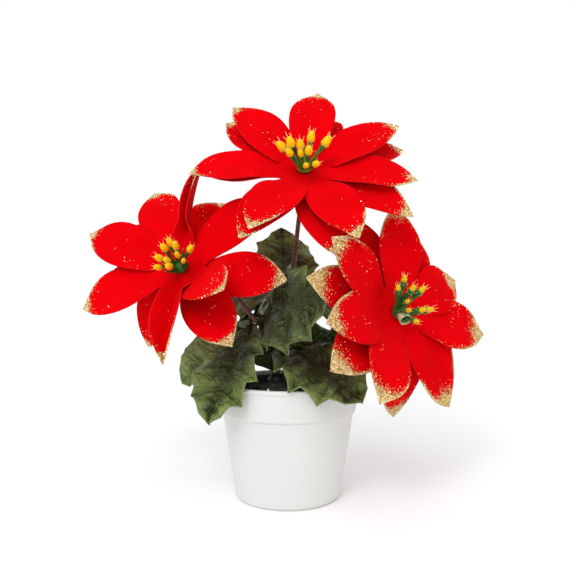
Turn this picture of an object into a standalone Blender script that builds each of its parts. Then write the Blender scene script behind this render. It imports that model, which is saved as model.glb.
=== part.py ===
"""An artificial poinsettia in a white plastic pot.

Three cloth blooms stand on a branched wire stem that is pushed into a foam filling.
Metres, +Z up. The origin is the middle of the pot's flat foot, and the blooms face -Y.
"""
import math
from collections import namedtuple

import bmesh
import bpy
from mathutils import Vector

GAP = 0.0003

# Pot: a tapered vessel with a wider band under its rim
POT_HEIGHT = 0.0711
RIM_RADIUS = 0.0450
BAND_BOTTOM = 0.0526
BAND_RADIUS = 0.0422
WALL_RADIUS = 0.0409
FOOT_RADIUS = 0.0328
WALL = 0.0016
FLOOR = 0.0022
LIP = 0.0010
POT_STEPS = 48

# Foam filling and the black boss that the stems come out of
FOAM_EDGE = 0.0680
FOAM_CROWN = 0.0715
FOAM_STEPS = 32
STEM_FOOT = Vector((-0.0065, -0.0045, 0.0))
STAKE_BOTTOM = 0.0250
BOSS_RADIUS = 0.0062
BOSS_TOP = 0.0752
BOSS_BOTTOM = 0.0640

# Stems
STEM_RADIUS = 0.00145
TRUNK_RADIUS = 0.0017
TRUNK_TOP = 0.0985
STAKE_RADIUS = 0.0026
PIN_RADIUS = 0.0014
FLANGE_RADIUS = 0.0036
FLANGE_THICKNESS = 0.0012

# Cloth sheets
CLOTH = 0.0007
SHEET_HOLE = 0.0020
COLLAR_HOLE = 0.0026
SHEET_STEP = 0.0011
BLADE_COLUMNS = (-1.0, -0.5, 0.0, 0.5, 1.0)
LIFT_SHARE = 0.15
PATH_STEPS = 40

PETAL_HUB = 0.0075
PETAL_LENGTH = 0.0640
PETAL_HALF_WIDTH = 0.0150
PETAL_ROWS = (0.10, 0.26, 0.43, 0.60, 0.76, 0.90)
PETAL_JOINED_ROWS = 2
LEAF_JOINED_ROWS = 1

LEAF_HUB = 0.0042
LEAF_LENGTH = 0.0660
LEAF_HALF_WIDTH = 0.0225

# Stamens
STAMEN_LENGTH = 0.0230
STAMEN_SIDES = 8
STALK_RADIUS = 0.0007
BUD_RADIUS = 0.0024
SPIKE_LENGTH = 0.0026
STAMEN_BASE_RADIUS = 0.0048

# A blade leaves its hub at an angle in the sheet's plane (turn), rises out of it (lift), bends on the way
# to its tip (curl), is creased along its middle (fold), twists about its length (roll), and is longer or
# shorter than the usual one (size).
Blade = namedtuple("Blade", "turn lift curl fold roll size", defaults=(-20.0, 8.0, 0.0, 1.0))
FOLD_SHARE = 0.30

# A bloom's middle, the way it faces (turned to +X, tipped up) and its two sheets, in degrees
Bloom = namedtuple("Bloom", "middle turned tipped lower upper")
BLOOMS = {
    "top": Bloom(
        Vector((0.0101, -0.0120, 0.1993)), -2, 44,
        lower=(
            Blade(26, 8, -25), Blade(76, 14, -35), Blade(137, 14, -17), Blade(174, 3, -30, size=0.85),
            Blade(241, 15, -25), Blade(285, 7, -25), Blade(333, 5, -25),
        ),
        upper=(
            Blade(32, 21, -25), Blade(83, 38, -45), Blade(132, 27, -25), Blade(180, 19, -38),
            Blade(246, 22, -25), Blade(294, 16, -25), Blade(353, 13, -28, size=0.95),
        ),
    ),
    "left": Bloom(
        Vector((-0.0640, -0.0150, 0.1401)), -11, 25,
        lower=(
            Blade(80, -22, -10, fold=40), Blade(120, -14), Blade(151, -6), Blade(187, -12),
            Blade(232, -34, size=0.85), Blade(308, 27), Blade(348, 18, -8),
        ),
        upper=(
            Blade(42, 21, -42), Blade(89, 8, -15, fold=50), Blade(118, 14, -45), Blade(159, 10), Blade(198, -2),
            Blade(277, 32, fold=40), Blade(321, 56),
        ),
    ),
    "right": Bloom(
        Vector((0.0634, -0.0250, 0.1133)), 26, 18,
        lower=(
            Blade(22, -9, -10), Blade(61, -2, -18), Blade(108, 3), Blade(167, 30),
            Blade(209, 28), Blade(282, -30), Blade(324, -14),
        ),
        upper=(
            Blade(24, 13, -45, size=0.85), Blade(78, 12), Blade(148, 40), Blade(190, 38), Blade(233, 36),
            Blade(306, -8), Blade(349, 4),
        ),
    ),
}

# Where a stamen leans from the bloom's axis: the way it leans and how far, in degrees, and its length share
STAMENS = {
    "top": ((185, 36, 1.0), (190, 18, 1.0), (225, 4, 0.9), (50, 12, 0.95), (15, 36, 1.0), (250, 16, 0.75),
            (290, 18, 0.9), (212, 30, 0.85), (300, 48, 0.8), (275, 46, 0.7)),
    "left": ((105, 21, 1.0), (70, 12, 1.0), (140, 14, 1.0), (5, 4, 0.85), (245, 8, 0.95), (200, 18, 1.0),
             (270, 20, 1.0), (220, 34, 0.9), (340, 22, 0.75), (25, 34, 0.95)),
    "right": ((100, 45, 1.0), (128, 39, 0.9), (96, 22, 0.95), (60, 22, 1.0), (295, 6, 0.95), (330, 16, 1.0),
              (210, 14, 0.8), (262, 26, 0.85), (150, 10, 0.75)),
}

# Branches of the stem: points between the top of the trunk and the bloom
BRANCHES = {
    "top": (Vector((-0.0030, 0.0020, 0.1120)), Vector((0.0015, 0.0060, 0.1260)), Vector((0.0035, 0.0065, 0.1420)),
            Vector((0.0055, 0.0065, 0.1600)), Vector((0.0078, 0.0045, 0.1800))),
    "left": (Vector((-0.0200, -0.0070, 0.1085)), Vector((-0.0345, -0.0060, 0.1260)),
             Vector((-0.0500, -0.0010, 0.1350))),
    "right": (Vector((-0.0015, -0.0050, 0.1065)), Vector((0.0100, -0.0035, 0.1165)),
              Vector((0.0280, 0.0010, 0.1225)), Vector((0.0470, -0.0055, 0.1205))),
}

# Leaf collars: the hub's middle, the way the sheet faces, and its leaves
Collar = namedtuple("Collar", "middle turned tipped leaves")
COLLARS = {
    "left": Collar(Vector((-0.0200, -0.0070, 0.1085)), -45, 35, (
        Blade(7, 35, -37), Blade(145, -40, -10, size=0.9), Blade(275, 12, -19, roll=-21),
    )),
    "top": Collar(Vector((0.0015, 0.0060, 0.1260)), 0, 70, (
        Blade(28, -40, -12, roll=40), Blade(96, -12, 75, roll=16), Blade(155, -18, -8, roll=-60),
    )),
    "base": Collar(Vector((-0.0065, -0.0045, 0.0950)), 0, 70, (
        Blade(31, -25, 9, roll=30, size=0.8), Blade(118, -38, -42, size=0.6),
        Blade(183, 5, -61, roll=-41), Blade(314, -6, -12, roll=12),
    )),
}


def material(name, colour, roughness):
    made = bpy.data.materials.new(name)
    made.use_nodes = True
    made.diffuse_color = (*colour, 1.0)
    shader = made.node_tree.nodes["Principled BSDF"]
    shader.inputs["Base Color"].default_value = (*colour, 1.0)
    shader.inputs["Roughness"].default_value = roughness
    shader.inputs["Metallic"].default_value = 0.0
    return made


def clear_scene():
    for obj in list(bpy.data.objects):
        bpy.data.objects.remove(obj, do_unlink=True)


def new_object(name, mesh, collection, finish):
    obj = bpy.data.objects.new(name, mesh)
    collection.objects.link(obj)
    if finish is not None:
        obj.data.materials.append(finish)
    return obj


def apply_modifiers(obj):
    """Replaces the object's mesh with what its modifiers make of it."""
    graph = bpy.context.evaluated_depsgraph_get()
    mesh = bpy.data.meshes.new_from_object(obj.evaluated_get(graph))
    obj.modifiers.clear()
    obj.data = mesh


def facing(turned, tipped):
    """Right, up and outward axes of a sheet that faces -Y before it is turned to +X and tipped up."""
    turn = math.radians(turned)
    tip = math.radians(tipped)
    outward = Vector((math.sin(turn) * math.cos(tip), -math.cos(turn) * math.cos(tip), math.sin(tip)))
    right = Vector((math.cos(turn), math.sin(turn), 0.0))
    return right, outward.cross(right), outward


# Turned pieces
def turned_piece(name, profile, steps, collection, finish, place=Vector()):
    """A solid turned about Z from (radius, height) points that start and end on the axis."""
    mesh = bpy.data.meshes.new(name)
    points = [(radius, 0.0, height) for radius, height in profile]
    edges = [(i, i + 1) for i in range(len(points) - 1)]
    mesh.from_pydata(points, edges, [])
    obj = new_object(name, mesh, collection, finish)
    obj.location = place
    screw = obj.modifiers.new("turn", "SCREW")
    screw.axis = "Z"
    screw.steps = steps
    screw.render_steps = steps
    screw.use_merge_vertices = True
    screw.merge_threshold = 0.00001
    screw.use_smooth_shade = True
    return obj


def wall_radius(height):
    return FOOT_RADIUS + (WALL_RADIUS - FOOT_RADIUS) * height / BAND_BOTTOM


def inner_radius(height):
    """The vessel's inner wall follows its outer taper."""
    return wall_radius(height) - WALL


def make_pot(collection, finish):
    inner_rim = RIM_RADIUS - LIP - WALL
    profile = (
        (0.0, FLOOR),
        (inner_radius(FLOOR), FLOOR),
        (inner_radius(BAND_BOTTOM), BAND_BOTTOM),
        (BAND_RADIUS - WALL, BAND_BOTTOM + 0.001),
        (inner_rim, POT_HEIGHT),
        (RIM_RADIUS - 0.0004, POT_HEIGHT),
        (RIM_RADIUS, POT_HEIGHT - 0.0004),
        (RIM_RADIUS, POT_HEIGHT - 0.0016),
        (RIM_RADIUS - LIP, POT_HEIGHT - 0.0028),
        (BAND_RADIUS, BAND_BOTTOM + 0.0004),
        (BAND_RADIUS - 0.0004, BAND_BOTTOM),
        (WALL_RADIUS, BAND_BOTTOM - 0.0004),
        (FOOT_RADIUS + 0.0003, 0.0016),
        (FOOT_RADIUS - 0.0006, 0.0),
        (0.0, 0.0),
    )
    return turned_piece("pot", profile, POT_STEPS, collection, finish)


def boss_socket(collection):
    """The hole in the foam that the boss and the stake stand in."""
    profile = (
        (0.0, POT_HEIGHT + 0.02),
        (BOSS_RADIUS + GAP, POT_HEIGHT + 0.02),
        (BOSS_RADIUS + GAP, BOSS_BOTTOM - GAP),
        (STAKE_RADIUS + GAP, BOSS_BOTTOM - GAP),
        (STAKE_RADIUS + GAP, STAKE_BOTTOM - GAP),
        (0.0, STAKE_BOTTOM - GAP),
    )
    cutter = turned_piece("boss_socket", profile, 20, collection, None, STEM_FOOT)
    cutter.hide_render = True
    cutter.display_type = "WIRE"
    return cutter


def make_foam(collection, cutters, finish):
    rim = BAND_RADIUS - WALL - GAP
    low = FLOOR + GAP
    profile = [(0.0, FOAM_CROWN)]
    for share in (0.3, 0.6, 0.85, 1.0):
        radius = share * (rim - 0.0005)
        profile.append((radius, FOAM_EDGE + (FOAM_CROWN - FOAM_EDGE) * (1 - share ** 2)))
    profile += [
        (rim, FOAM_EDGE - 0.0006),
        (rim, BAND_BOTTOM + 0.001 + GAP),
        (inner_radius(BAND_BOTTOM) - GAP, BAND_BOTTOM),
        (inner_radius(low) - GAP, low),
        (0.0, low),
    ]
    foam = turned_piece("soil_foam", profile, FOAM_STEPS, collection, finish)
    cut = foam.modifiers.new("socket", "BOOLEAN")
    cut.operation = "DIFFERENCE"
    cut.object = boss_socket(cutters)
    return foam


def make_boss(collection, finish):
    hole = STAKE_RADIUS + GAP
    mesh = bpy.data.meshes.new("stem_boss")
    profile = (
        (hole, BOSS_TOP), (BOSS_RADIUS - 0.0022, BOSS_TOP), (BOSS_RADIUS - 0.0006, FOAM_CROWN + 0.0018),
        (BOSS_RADIUS, FOAM_CROWN), (BOSS_RADIUS, BOSS_BOTTOM), (hole, BOSS_BOTTOM), (hole, BOSS_TOP),
    )
    count = len(profile) - 1
    mesh.from_pydata([(r, 0.0, z) for r, z in profile[:count]], [(i, (i + 1) % count) for i in range(count)], [])
    boss = new_object("stem_boss", mesh, collection, finish)
    boss.location = STEM_FOOT
    screw = boss.modifiers.new("turn", "SCREW")
    screw.steps = 20
    screw.render_steps = 20
    screw.use_merge_vertices = True
    screw.merge_threshold = 0.00001
    return boss


# Cloth sheets
def petal_half_width(share):
    return PETAL_HALF_WIDTH * math.sin(math.pi * (0.12 + 0.88 * share) ** 1.35) ** 0.8


class Section:
    """One place along a blade's midrib: its point, its side and its normal."""

    def __init__(self, middle, axes, hub, length, blade, share):
        right, up, outward = axes
        turn = math.radians(blade.turn)
        ray = math.cos(turn) * right + math.sin(turn) * up
        across = math.cos(turn) * up - math.sin(turn) * right
        point = middle + hub * ray
        step = share / PATH_STEPS
        angle = math.radians(blade.lift if share else 0.0)
        for i in range(PATH_STEPS):
            walked = (i + 0.5) * step
            angle = math.radians(blade.lift * min(1.0, walked / LIFT_SHARE) + blade.curl * walked)
            point = point + length * blade.size * step * (math.cos(angle) * ray + math.sin(angle) * outward)
        normal = math.cos(angle) * outward - math.sin(angle) * ray
        roll = math.radians(blade.roll * share)
        self.point = point
        self.side = math.cos(roll) * across + math.sin(roll) * normal
        self.normal = math.cos(roll) * normal - math.sin(roll) * across
        self.fold = math.radians(blade.fold) * min(1.0, share / FOLD_SHARE)

    def out_to(self, distance):
        """The point that far across the blade, up its creased half."""
        rise = abs(distance) * math.sin(self.fold)
        return self.point + self.side * distance * math.cos(self.fold) + self.normal * rise


def petal_sections(middle, axes, blade):
    """Rows of five points from the hub to the tip of a petal, with a soft crease along its middle."""
    rows = []
    for share in (0.0, *PETAL_ROWS):
        section = Section(middle, axes, PETAL_HUB, PETAL_LENGTH, blade, share)
        half = petal_half_width(share)
        rows.append([section.out_to(x * half) for x in BLADE_COLUMNS])
    rows.append(Section(middle, axes, PETAL_HUB, PETAL_LENGTH, blade, 1.0).point)
    return rows


# A leaf's margin from base to tip: the midrib's share, the margin's share and half width, and how far the
# margin waves out of the leaf. Points of the holly-like outline alternate with the bays between them.
LEAF_MARGIN = (
    (0.00, 0.00, 0.12, 0.0),
    (0.12, 0.10, 0.42, 0.06),
    (0.24, 0.30, 0.80, -0.10),
    (0.33, 0.36, 0.66, 0.12),
    (0.46, 0.56, 1.00, -0.12),
    (0.55, 0.61, 0.72, 0.12),
    (0.68, 0.80, 0.74, -0.10),
    (0.77, 0.83, 0.42, 0.08),
    (0.88, 0.93, 0.20, 0.0),
)


def leaf_sections(middle, axes, blade):
    rows = []
    for rib, margin, width, wave in LEAF_MARGIN:
        spine = Section(middle, axes, LEAF_HUB, LEAF_LENGTH, blade, rib)
        edge = Section(middle, axes, LEAF_HUB, LEAF_LENGTH, blade, margin)
        half = LEAF_HALF_WIDTH * width * blade.size
        row = []
        for x in BLADE_COLUMNS:
            ahead = abs(x)
            point = spine.point.lerp(edge.point, ahead) + edge.out_to(x * half) - edge.point
            row.append(point + edge.normal * LEAF_HALF_WIDTH * wave * (ahead ** 2))
        rows.append(row)
    rows.append(Section(middle, axes, LEAF_HUB, LEAF_LENGTH, blade, 1.0).point)
    return rows


def column_turns(blades, i):
    """The directions of a blade's five columns where the sheet is still whole, in degrees."""
    turn = blades[i].turn
    before = blades[i - 1].turn
    after = blades[(i + 1) % len(blades)].turn
    low = turn - ((turn - before) % 360.0) / 2.0
    high = turn + ((after - turn) % 360.0) / 2.0
    return (low, (low + turn) / 2.0, turn, (turn + high) / 2.0, high)


def whole_row(middle, axes, radius, rises, turns):
    """A row of the uncut hub, at one radius and at its own rise in each direction."""
    right, up, outward = axes
    return [
        middle + radius * (math.cos(math.radians(t)) * right + math.sin(math.radians(t)) * up) + rise * outward
        for t, rise in zip(turns, rises)
    ]


def fan(mesh, row, following):
    """Triangles between two rows of corners, or between a row and the tip."""
    if not isinstance(following, list):
        for a, b in zip(row, row[1:]):
            mesh.faces.new((a, b, following))
        return
    for a, b, c, d in zip(row, row[1:], following[1:], following):
        mesh.faces.new((a, b, c))
        mesh.faces.new((a, c, d))


def rosette(name, middle, axes, blades, sections, joined, hole, collection, finish):
    """A die-cut sheet: blades round a hub with a hole, joined to their neighbours for a few rows."""
    outward = axes[2]
    blades = sorted((b._replace(turn=b.turn % 360.0) for b in blades), key=lambda blade: blade.turn)
    grids = [sections(middle, axes, blade) for blade in blades]
    mesh = bmesh.new()
    for i, grid in enumerate(grids):
        turns = column_turns(blades, i)
        rows = [whole_row(middle, axes, hole, [0.0] * 5, turns)]
        for row in range(joined):
            rise, before, after = (
                (grids[k % len(grids)][row][2] - middle).dot(outward) for k in (i, i - 1, i + 1)
            )
            radius = ((grid[row][2] - middle) - rise * outward).length
            rises = (
                (before + rise) / 2, (before + 3 * rise) / 4, rise, (after + 3 * rise) / 4, (after + rise) / 2
            )
            rows.append(whole_row(middle, axes, radius, rises, turns))
        rows += grid[joined:-1]
        corners = [[mesh.verts.new(p) for p in row] for row in rows]
        tip = mesh.verts.new(grid[-1])
        for row, following in zip(corners, corners[1:]):
            fan(mesh, row, following)
        fan(mesh, corners[-1], tip)
    bmesh.ops.remove_doubles(mesh, verts=mesh.verts, dist=0.0003)
    data = bpy.data.meshes.new(name)
    mesh.to_mesh(data)
    mesh.free()
    data.shade_smooth()
    obj = new_object(name, data, collection, finish)
    solid = obj.modifiers.new("cloth", "SOLIDIFY")
    solid.thickness = CLOTH
    solid.offset = 0.0
    solid.use_even_offset = True
    return obj


# Tubes and stamens
def smooth_path(points, steps=4):
    """Points along a Catmull-Rom curve through the given points."""
    ends = [2 * points[0] - points[1], *points, 2 * points[-1] - points[-2]]
    path = []
    for a, b, c, d in zip(ends, ends[1:], ends[2:], ends[3:]):
        for i in range(steps):
            t = i / steps
            path.append(0.5 * (2 * b + (c - a) * t + (2 * a - 5 * b + 4 * c - d) * t * t
                               + (3 * b - a - 3 * c + d) * t ** 3))
    return [*path, points[-1]]


def tube(name, points, radii, collection):
    """A round bar along the points, as a mesh with welded caps."""
    curve = bpy.data.curves.new(name, "CURVE")
    curve.dimensions = "3D"
    curve.bevel_depth = 1.0
    curve.bevel_resolution = 2
    curve.use_fill_caps = True
    spline = curve.splines.new("POLY")
    spline.points.add(len(points) - 1)
    for corner, point, radius in zip(spline.points, points, radii):
        corner.co = (*point, 1.0)
        corner.radius = radius
    guide = new_object(name, curve, collection, None)
    graph = bpy.context.evaluated_depsgraph_get()
    mesh = bpy.data.meshes.new_from_object(guide.evaluated_get(graph))
    bpy.data.objects.remove(guide, do_unlink=True)
    welded = bmesh.new()
    welded.from_mesh(mesh)
    bmesh.ops.remove_doubles(welded, verts=welded.verts, dist=0.000001)
    bmesh.ops.recalc_face_normals(welded, faces=welded.faces)
    welded.to_mesh(mesh)
    welded.free()
    return new_object(name, mesh, collection, None)


def join_all(first, collection, finish, name):
    """Joins the first object with the others of its collection into one solid."""
    others = [obj for obj in collection.objects if obj is not first]
    union = first.modifiers.new("join", "BOOLEAN")
    union.operation = "UNION"
    union.operand_type = "COLLECTION"
    union.solver = "MANIFOLD"
    tools = bpy.data.collections.new(name + "_pieces")
    bpy.context.scene.collection.children.link(tools)
    for obj in others:
        collection.objects.unlink(obj)
        tools.objects.link(obj)
    union.collection = tools
    bpy.context.view_layer.update()
    apply_modifiers(first)
    for obj in others:
        bpy.data.objects.remove(obj, do_unlink=True)
    bpy.data.collections.remove(tools)
    first.name = name
    first.data.materials.clear()
    first.data.materials.append(finish)
    return first


def branch_points(name):
    """A branch from the trunk, through its own points, to the pin in its bloom's hub."""
    bloom = BLOOMS[name]
    outward = facing(bloom.turned, bloom.tipped)[2]
    start = STEM_FOOT + Vector((0.0, 0.0, TRUNK_TOP - 0.001))
    below = bloom.middle - outward * 0.0060
    pin = bloom.middle + outward * (SHEET_STEP + CLOTH / 2)
    return smooth_path([start, *BRANCHES[name], below]) + [pin]


def make_stems(parts, scratch, finish):
    levels = (STAKE_BOTTOM, BOSS_BOTTOM, BOSS_TOP - 0.002, TRUNK_TOP)
    stake = [STEM_FOOT + Vector((0.0, 0.0, level)) for level in levels]
    whole = tube("stake", stake, (STAKE_RADIUS, STAKE_RADIUS, TRUNK_RADIUS, TRUNK_RADIUS), scratch)
    for name, bloom in BLOOMS.items():
        points = branch_points(name)
        radii = [STEM_RADIUS] * (len(points) - 1) + [PIN_RADIUS]
        tube("branch_" + name, points, radii, scratch)
        outward = facing(bloom.turned, bloom.tipped)[2]
        top = bloom.middle - outward * (CLOTH / 2 + GAP)
        flange = [top - outward * FLANGE_THICKNESS, top]
        tube("flange_" + name, flange, (FLANGE_RADIUS, FLANGE_RADIUS), scratch)
    stems = join_all(whole, scratch, finish, "stems")
    scratch.objects.unlink(stems)
    parts.objects.link(stems)
    return stems


def stamen(name, foot, lean, length, collection):
    """A curved stalk that swells into a bud with a crown of spikes, as one closed mesh."""
    rings = (
        (0.00, STALK_RADIUS * 1.3), (0.35, STALK_RADIUS), (0.66, STALK_RADIUS),
        (0.80, BUD_RADIUS * 0.92), (0.92, BUD_RADIUS * 0.95), (1.00, BUD_RADIUS * 0.55),
    )
    mesh = bmesh.new()
    sideways = lean.orthogonal().normalized()
    other = lean.cross(sideways)
    corners = []
    for share, radius in rings:
        ring = []
        for i in range(STAMEN_SIDES):
            angle = 2 * math.pi * i / STAMEN_SIDES
            out = math.cos(angle) * sideways + math.sin(angle) * other
            point = foot + lean * length * share + out * radius
            if share == 1.0 and i % 2 == 0:
                point = point + lean * SPIKE_LENGTH + out * radius * 0.9
            ring.append(mesh.verts.new(point))
        corners.append(ring)
    bottom = mesh.verts.new(foot)
    top = mesh.verts.new(foot + lean * length * 0.985)
    for ring, following in zip(corners, corners[1:]):
        fan(mesh, [*ring, ring[0]], [*following, following[0]])
    fan(mesh, [*corners[-1], corners[-1][0]], top)
    fan(mesh, [corners[0][0], *reversed(corners[0])], bottom)
    bmesh.ops.recalc_face_normals(mesh, faces=mesh.faces)
    data = bpy.data.meshes.new(name)
    mesh.to_mesh(data)
    mesh.free()
    return new_object(name, data, collection, None)


def make_stamens(name, parts, scratch, finish):
    bloom = BLOOMS[name]
    right, up, outward = facing(bloom.turned, bloom.tipped)
    foot = bloom.middle + outward * (SHEET_STEP + CLOTH / 2 + 2 * GAP)
    base = tube("base", [foot, foot + outward * 0.0012, foot + outward * 0.0030],
                (STAMEN_BASE_RADIUS * 0.8, STAMEN_BASE_RADIUS, STAMEN_BASE_RADIUS * 0.55), scratch)
    for i, (turn, lean, size) in enumerate(STAMENS[name]):
        ray = math.cos(math.radians(turn)) * right + math.sin(math.radians(turn)) * up
        tilt = math.radians(lean)
        along = math.cos(tilt) * outward + math.sin(tilt) * ray
        start = foot + outward * 0.0014 + ray * 0.0022
        stamen(f"stamen_{i}", start, along, STAMEN_LENGTH * size, scratch)
    cluster = join_all(base, scratch, finish, f"bloom_{name}_stamens")
    scratch.objects.unlink(cluster)
    parts.objects.link(cluster)


def make_bloom(name, collection, finish):
    bloom = BLOOMS[name]
    axes = facing(bloom.turned, bloom.tipped)
    over = bloom.middle + axes[2] * SHEET_STEP
    rosette(f"bloom_{name}_lower", bloom.middle, axes, bloom.lower, petal_sections,
            PETAL_JOINED_ROWS, SHEET_HOLE, collection, finish)
    rosette(f"bloom_{name}_upper", over, axes, bloom.upper, petal_sections,
            PETAL_JOINED_ROWS, SHEET_HOLE, collection, finish)


def make_collar(name, collection, finish):
    collar = COLLARS[name]
    axes = facing(collar.turned, collar.tipped)
    rosette(f"leaf_collar_{name}", collar.middle, axes, collar.leaves, leaf_sections,
            LEAF_JOINED_ROWS, COLLAR_HOLE, collection, finish)


def main():
    clear_scene()
    parts = bpy.data.collections.new("poinsettia")
    cutters = bpy.data.collections.new("cutters")
    scratch = bpy.data.collections.new("scratch")
    for collection in (parts, cutters, scratch):
        bpy.context.scene.collection.children.link(collection)
    make_pot(parts, material("pot_plastic", (0.82, 0.83, 0.82), 0.35))
    make_foam(parts, cutters, material("filling_foam", (0.035, 0.04, 0.045), 0.9))
    make_boss(parts, material("boss_plastic", (0.01, 0.01, 0.01), 0.5))
    make_stems(parts, scratch, material("stem_plastic", (0.16, 0.06, 0.035), 0.5))
    leaf_cloth = material("leaf_cloth", (0.06, 0.10, 0.03), 0.55)
    petal_cloth = material("petal_cloth", (0.75, 0.0, 0.005), 0.9)
    stamen_plastic = material("stamen_plastic", (0.75, 0.45, 0.02), 0.4)
    for name in COLLARS:
        make_collar(name, parts, leaf_cloth)
    for name in BLOOMS:
        make_bloom(name, parts, petal_cloth)
        make_stamens(name, parts, scratch, stamen_plastic)
    bpy.data.collections.remove(scratch)


main()
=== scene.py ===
# %% [markdown]
# # A potted artificial poinsettia
# The real thing is put together by hand from a few kinds of ready pieces: die-cut cloth sheets for the
# blooms and the leaves, a moulded bush of stems, moulded stamens, a block of foam and a plastic pot. The CAD
# model holds each of them as a solid. This lesson dresses that model. It loads the solids, puts a finer piece
# in the place of each one, and gives every piece the finish that it has in life.

# %% Load the solids and bake their placement into their meshes
import math
from collections import namedtuple
from functools import partial

import bmesh
import bpy
import numpy as np
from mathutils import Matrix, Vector


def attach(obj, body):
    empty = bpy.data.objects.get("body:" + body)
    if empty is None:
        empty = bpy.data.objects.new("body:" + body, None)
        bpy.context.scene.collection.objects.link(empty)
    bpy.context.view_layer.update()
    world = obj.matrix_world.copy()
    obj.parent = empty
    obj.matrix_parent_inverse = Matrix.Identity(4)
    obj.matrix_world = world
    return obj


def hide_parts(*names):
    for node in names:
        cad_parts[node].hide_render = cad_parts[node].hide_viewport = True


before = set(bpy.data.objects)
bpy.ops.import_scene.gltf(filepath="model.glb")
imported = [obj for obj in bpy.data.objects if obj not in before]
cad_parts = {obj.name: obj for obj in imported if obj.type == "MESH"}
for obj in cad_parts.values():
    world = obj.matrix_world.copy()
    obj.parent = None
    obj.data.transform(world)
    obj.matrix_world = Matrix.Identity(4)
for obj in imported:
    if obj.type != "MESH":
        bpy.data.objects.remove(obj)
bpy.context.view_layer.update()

# %% [markdown]
# ## Camera
# The photograph was taken level with the plant's middle: the rim of the pot is seen from a little above and
# its foot hardly at all. A level camera keeps the pot's sides upright, so it isn't pitched or shifted.

# %% Place the camera
CAMERA_DISTANCE = 0.369
CAMERA_HEIGHT = 0.1286
LENS = 36.6
SENSOR = 36.0

scene = bpy.context.scene
camera = bpy.data.objects.new("camera", bpy.data.cameras.new("camera"))
camera.data.lens = LENS
camera.data.sensor_width = SENSOR
camera.location = (0.0, -CAMERA_DISTANCE, CAMERA_HEIGHT)
camera.rotation_euler = (math.radians(90.0), 0.0, 0.0)
scene.collection.objects.link(camera)
scene.camera = camera
scene.view_settings.view_transform = "Standard"
print("camera", round(1000 * CAMERA_DISTANCE), "mm in front of the pot's axis")

# %% [markdown]
# ## Helpers for finishes
# A finish is a Principled shader with a few texture nodes in front of it. Short helpers keep the materials
# readable: one makes the shader with its plain values, one adds a node and joins its inputs to numbers or to
# other nodes, and the others stand for the sums, ramps and textures that most finishes use.


# %% Helpers that make a material and its nodes
def finish(name, **sockets):
    """A new material, its tree and its Principled shader, with plain values on the shader's own sockets."""
    material = bpy.data.materials.new(name)
    material.use_nodes = True
    shader = material.node_tree.nodes["Principled BSDF"]
    for socket, value in sockets.items():
        shader.inputs[socket.replace("_", " ")].default_value = value
    return material, material.node_tree, shader


def drive(tree, shader, **sockets):
    """Joins sockets of the shader to the outputs of other nodes."""
    for socket, value in sockets.items():
        tree.links.new(value, shader.inputs[socket.replace("_", " ")])


def new_node(tree, kind, joined=None, **settings):
    """A node with its settings, whose inputs are numbers, colours or the outputs of other nodes."""
    made = tree.nodes.new(kind)
    for name, value in settings.items():
        setattr(made, name, value)
    for socket, value in (joined or {}).items():
        if isinstance(value, bpy.types.NodeSocket):
            tree.links.new(value, made.inputs[socket])
        else:
            made.inputs[socket].default_value = value
    return made


def add(tree, kind, joined=None, **settings):
    """The first output of such a node, which is the one that is mostly needed."""
    return new_node(tree, kind, joined, **settings).outputs[0]


def maths(tree, operation, first, second=0.0, clamp=False):
    return add(tree, "ShaderNodeMath", {0: first, 1: second}, operation=operation, use_clamp=clamp)


def times(tree, first, second):
    return maths(tree, "MULTIPLY", first, second)


def weighted(tree, *terms, start=None):
    """The sum of (value, weight) terms, on top of a start where there is one."""
    total = start
    for value, weight in terms:
        term = times(tree, value, weight)
        total = term if total is None else maths(tree, "ADD", total, term)
    return total


def fading(tree, value, reach):
    """1 where the value is nought, and 0 from this reach on."""
    return maths(tree, "SUBTRACT", 1.0, maths(tree, "DIVIDE", value, reach), clamp=True)


def blend_colours(tree, factor, first, second):
    return new_node(tree, "ShaderNodeMix", {0: factor, 6: first, 7: second}, data_type="RGBA").outputs[2]


def steps(tree, factor, *stops):
    """A colour ramp from (place, colour) pairs."""
    ramp = new_node(tree, "ShaderNodeValToRGB", {0: factor})
    ramp.color_ramp.elements[0].position, ramp.color_ramp.elements[0].color = stops[0]
    ramp.color_ramp.elements[1].position, ramp.color_ramp.elements[1].color = stops[-1]
    for place, colour in stops[1:-1]:
        ramp.color_ramp.elements.new(place).color = colour
    return ramp.outputs[0]


def grey(value):
    return (value, value, value, 1.0)


def bump(tree, shader, height, distance, strength=1.0, before=None):
    """A bump on the shader's normal, on top of the bump before it."""
    joined = {"Height": height, "Distance": distance, "Strength": strength}
    if before is not None:
        joined["Normal"] = before
    made = add(tree, "ShaderNodeBump", joined)
    drive(tree, shader, Normal=made)
    return made


def place_of(tree):
    return new_node(tree, "ShaderNodeTexCoord").outputs["Object"]


def noise_at(tree, places, scale, detail=2.0, **more):
    joined = {"Vector": places, "Scale": scale, "Detail": detail, **more}
    return add(tree, "ShaderNodeTexNoise", joined)


def cells_at(tree, places, scale):
    """How far the nearest cell's middle is, and a number of the cell's own."""
    made = new_node(tree, "ShaderNodeTexVoronoi", {"Vector": places, "Scale": scale}).outputs
    return made["Distance"], add(tree, "ShaderNodeSeparateColor", {0: made["Color"]})


def parts_of(tree, vector):
    """The X, Y and Z of a vector."""
    return new_node(tree, "ShaderNodeSeparateXYZ", {0: vector}).outputs


def painted(tree, name):
    """The value of an attribute of the mesh."""
    return new_node(tree, "ShaderNodeAttribute", attribute_name=name).outputs["Fac"]


# %% Helpers that make a piece and hand it to the frame
def new_piece(name, mesh, material):
    obj = bpy.data.objects.new(name, mesh)
    scene.collection.objects.link(obj)
    mesh.materials.clear()
    mesh.materials.append(material)
    return obj


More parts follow.
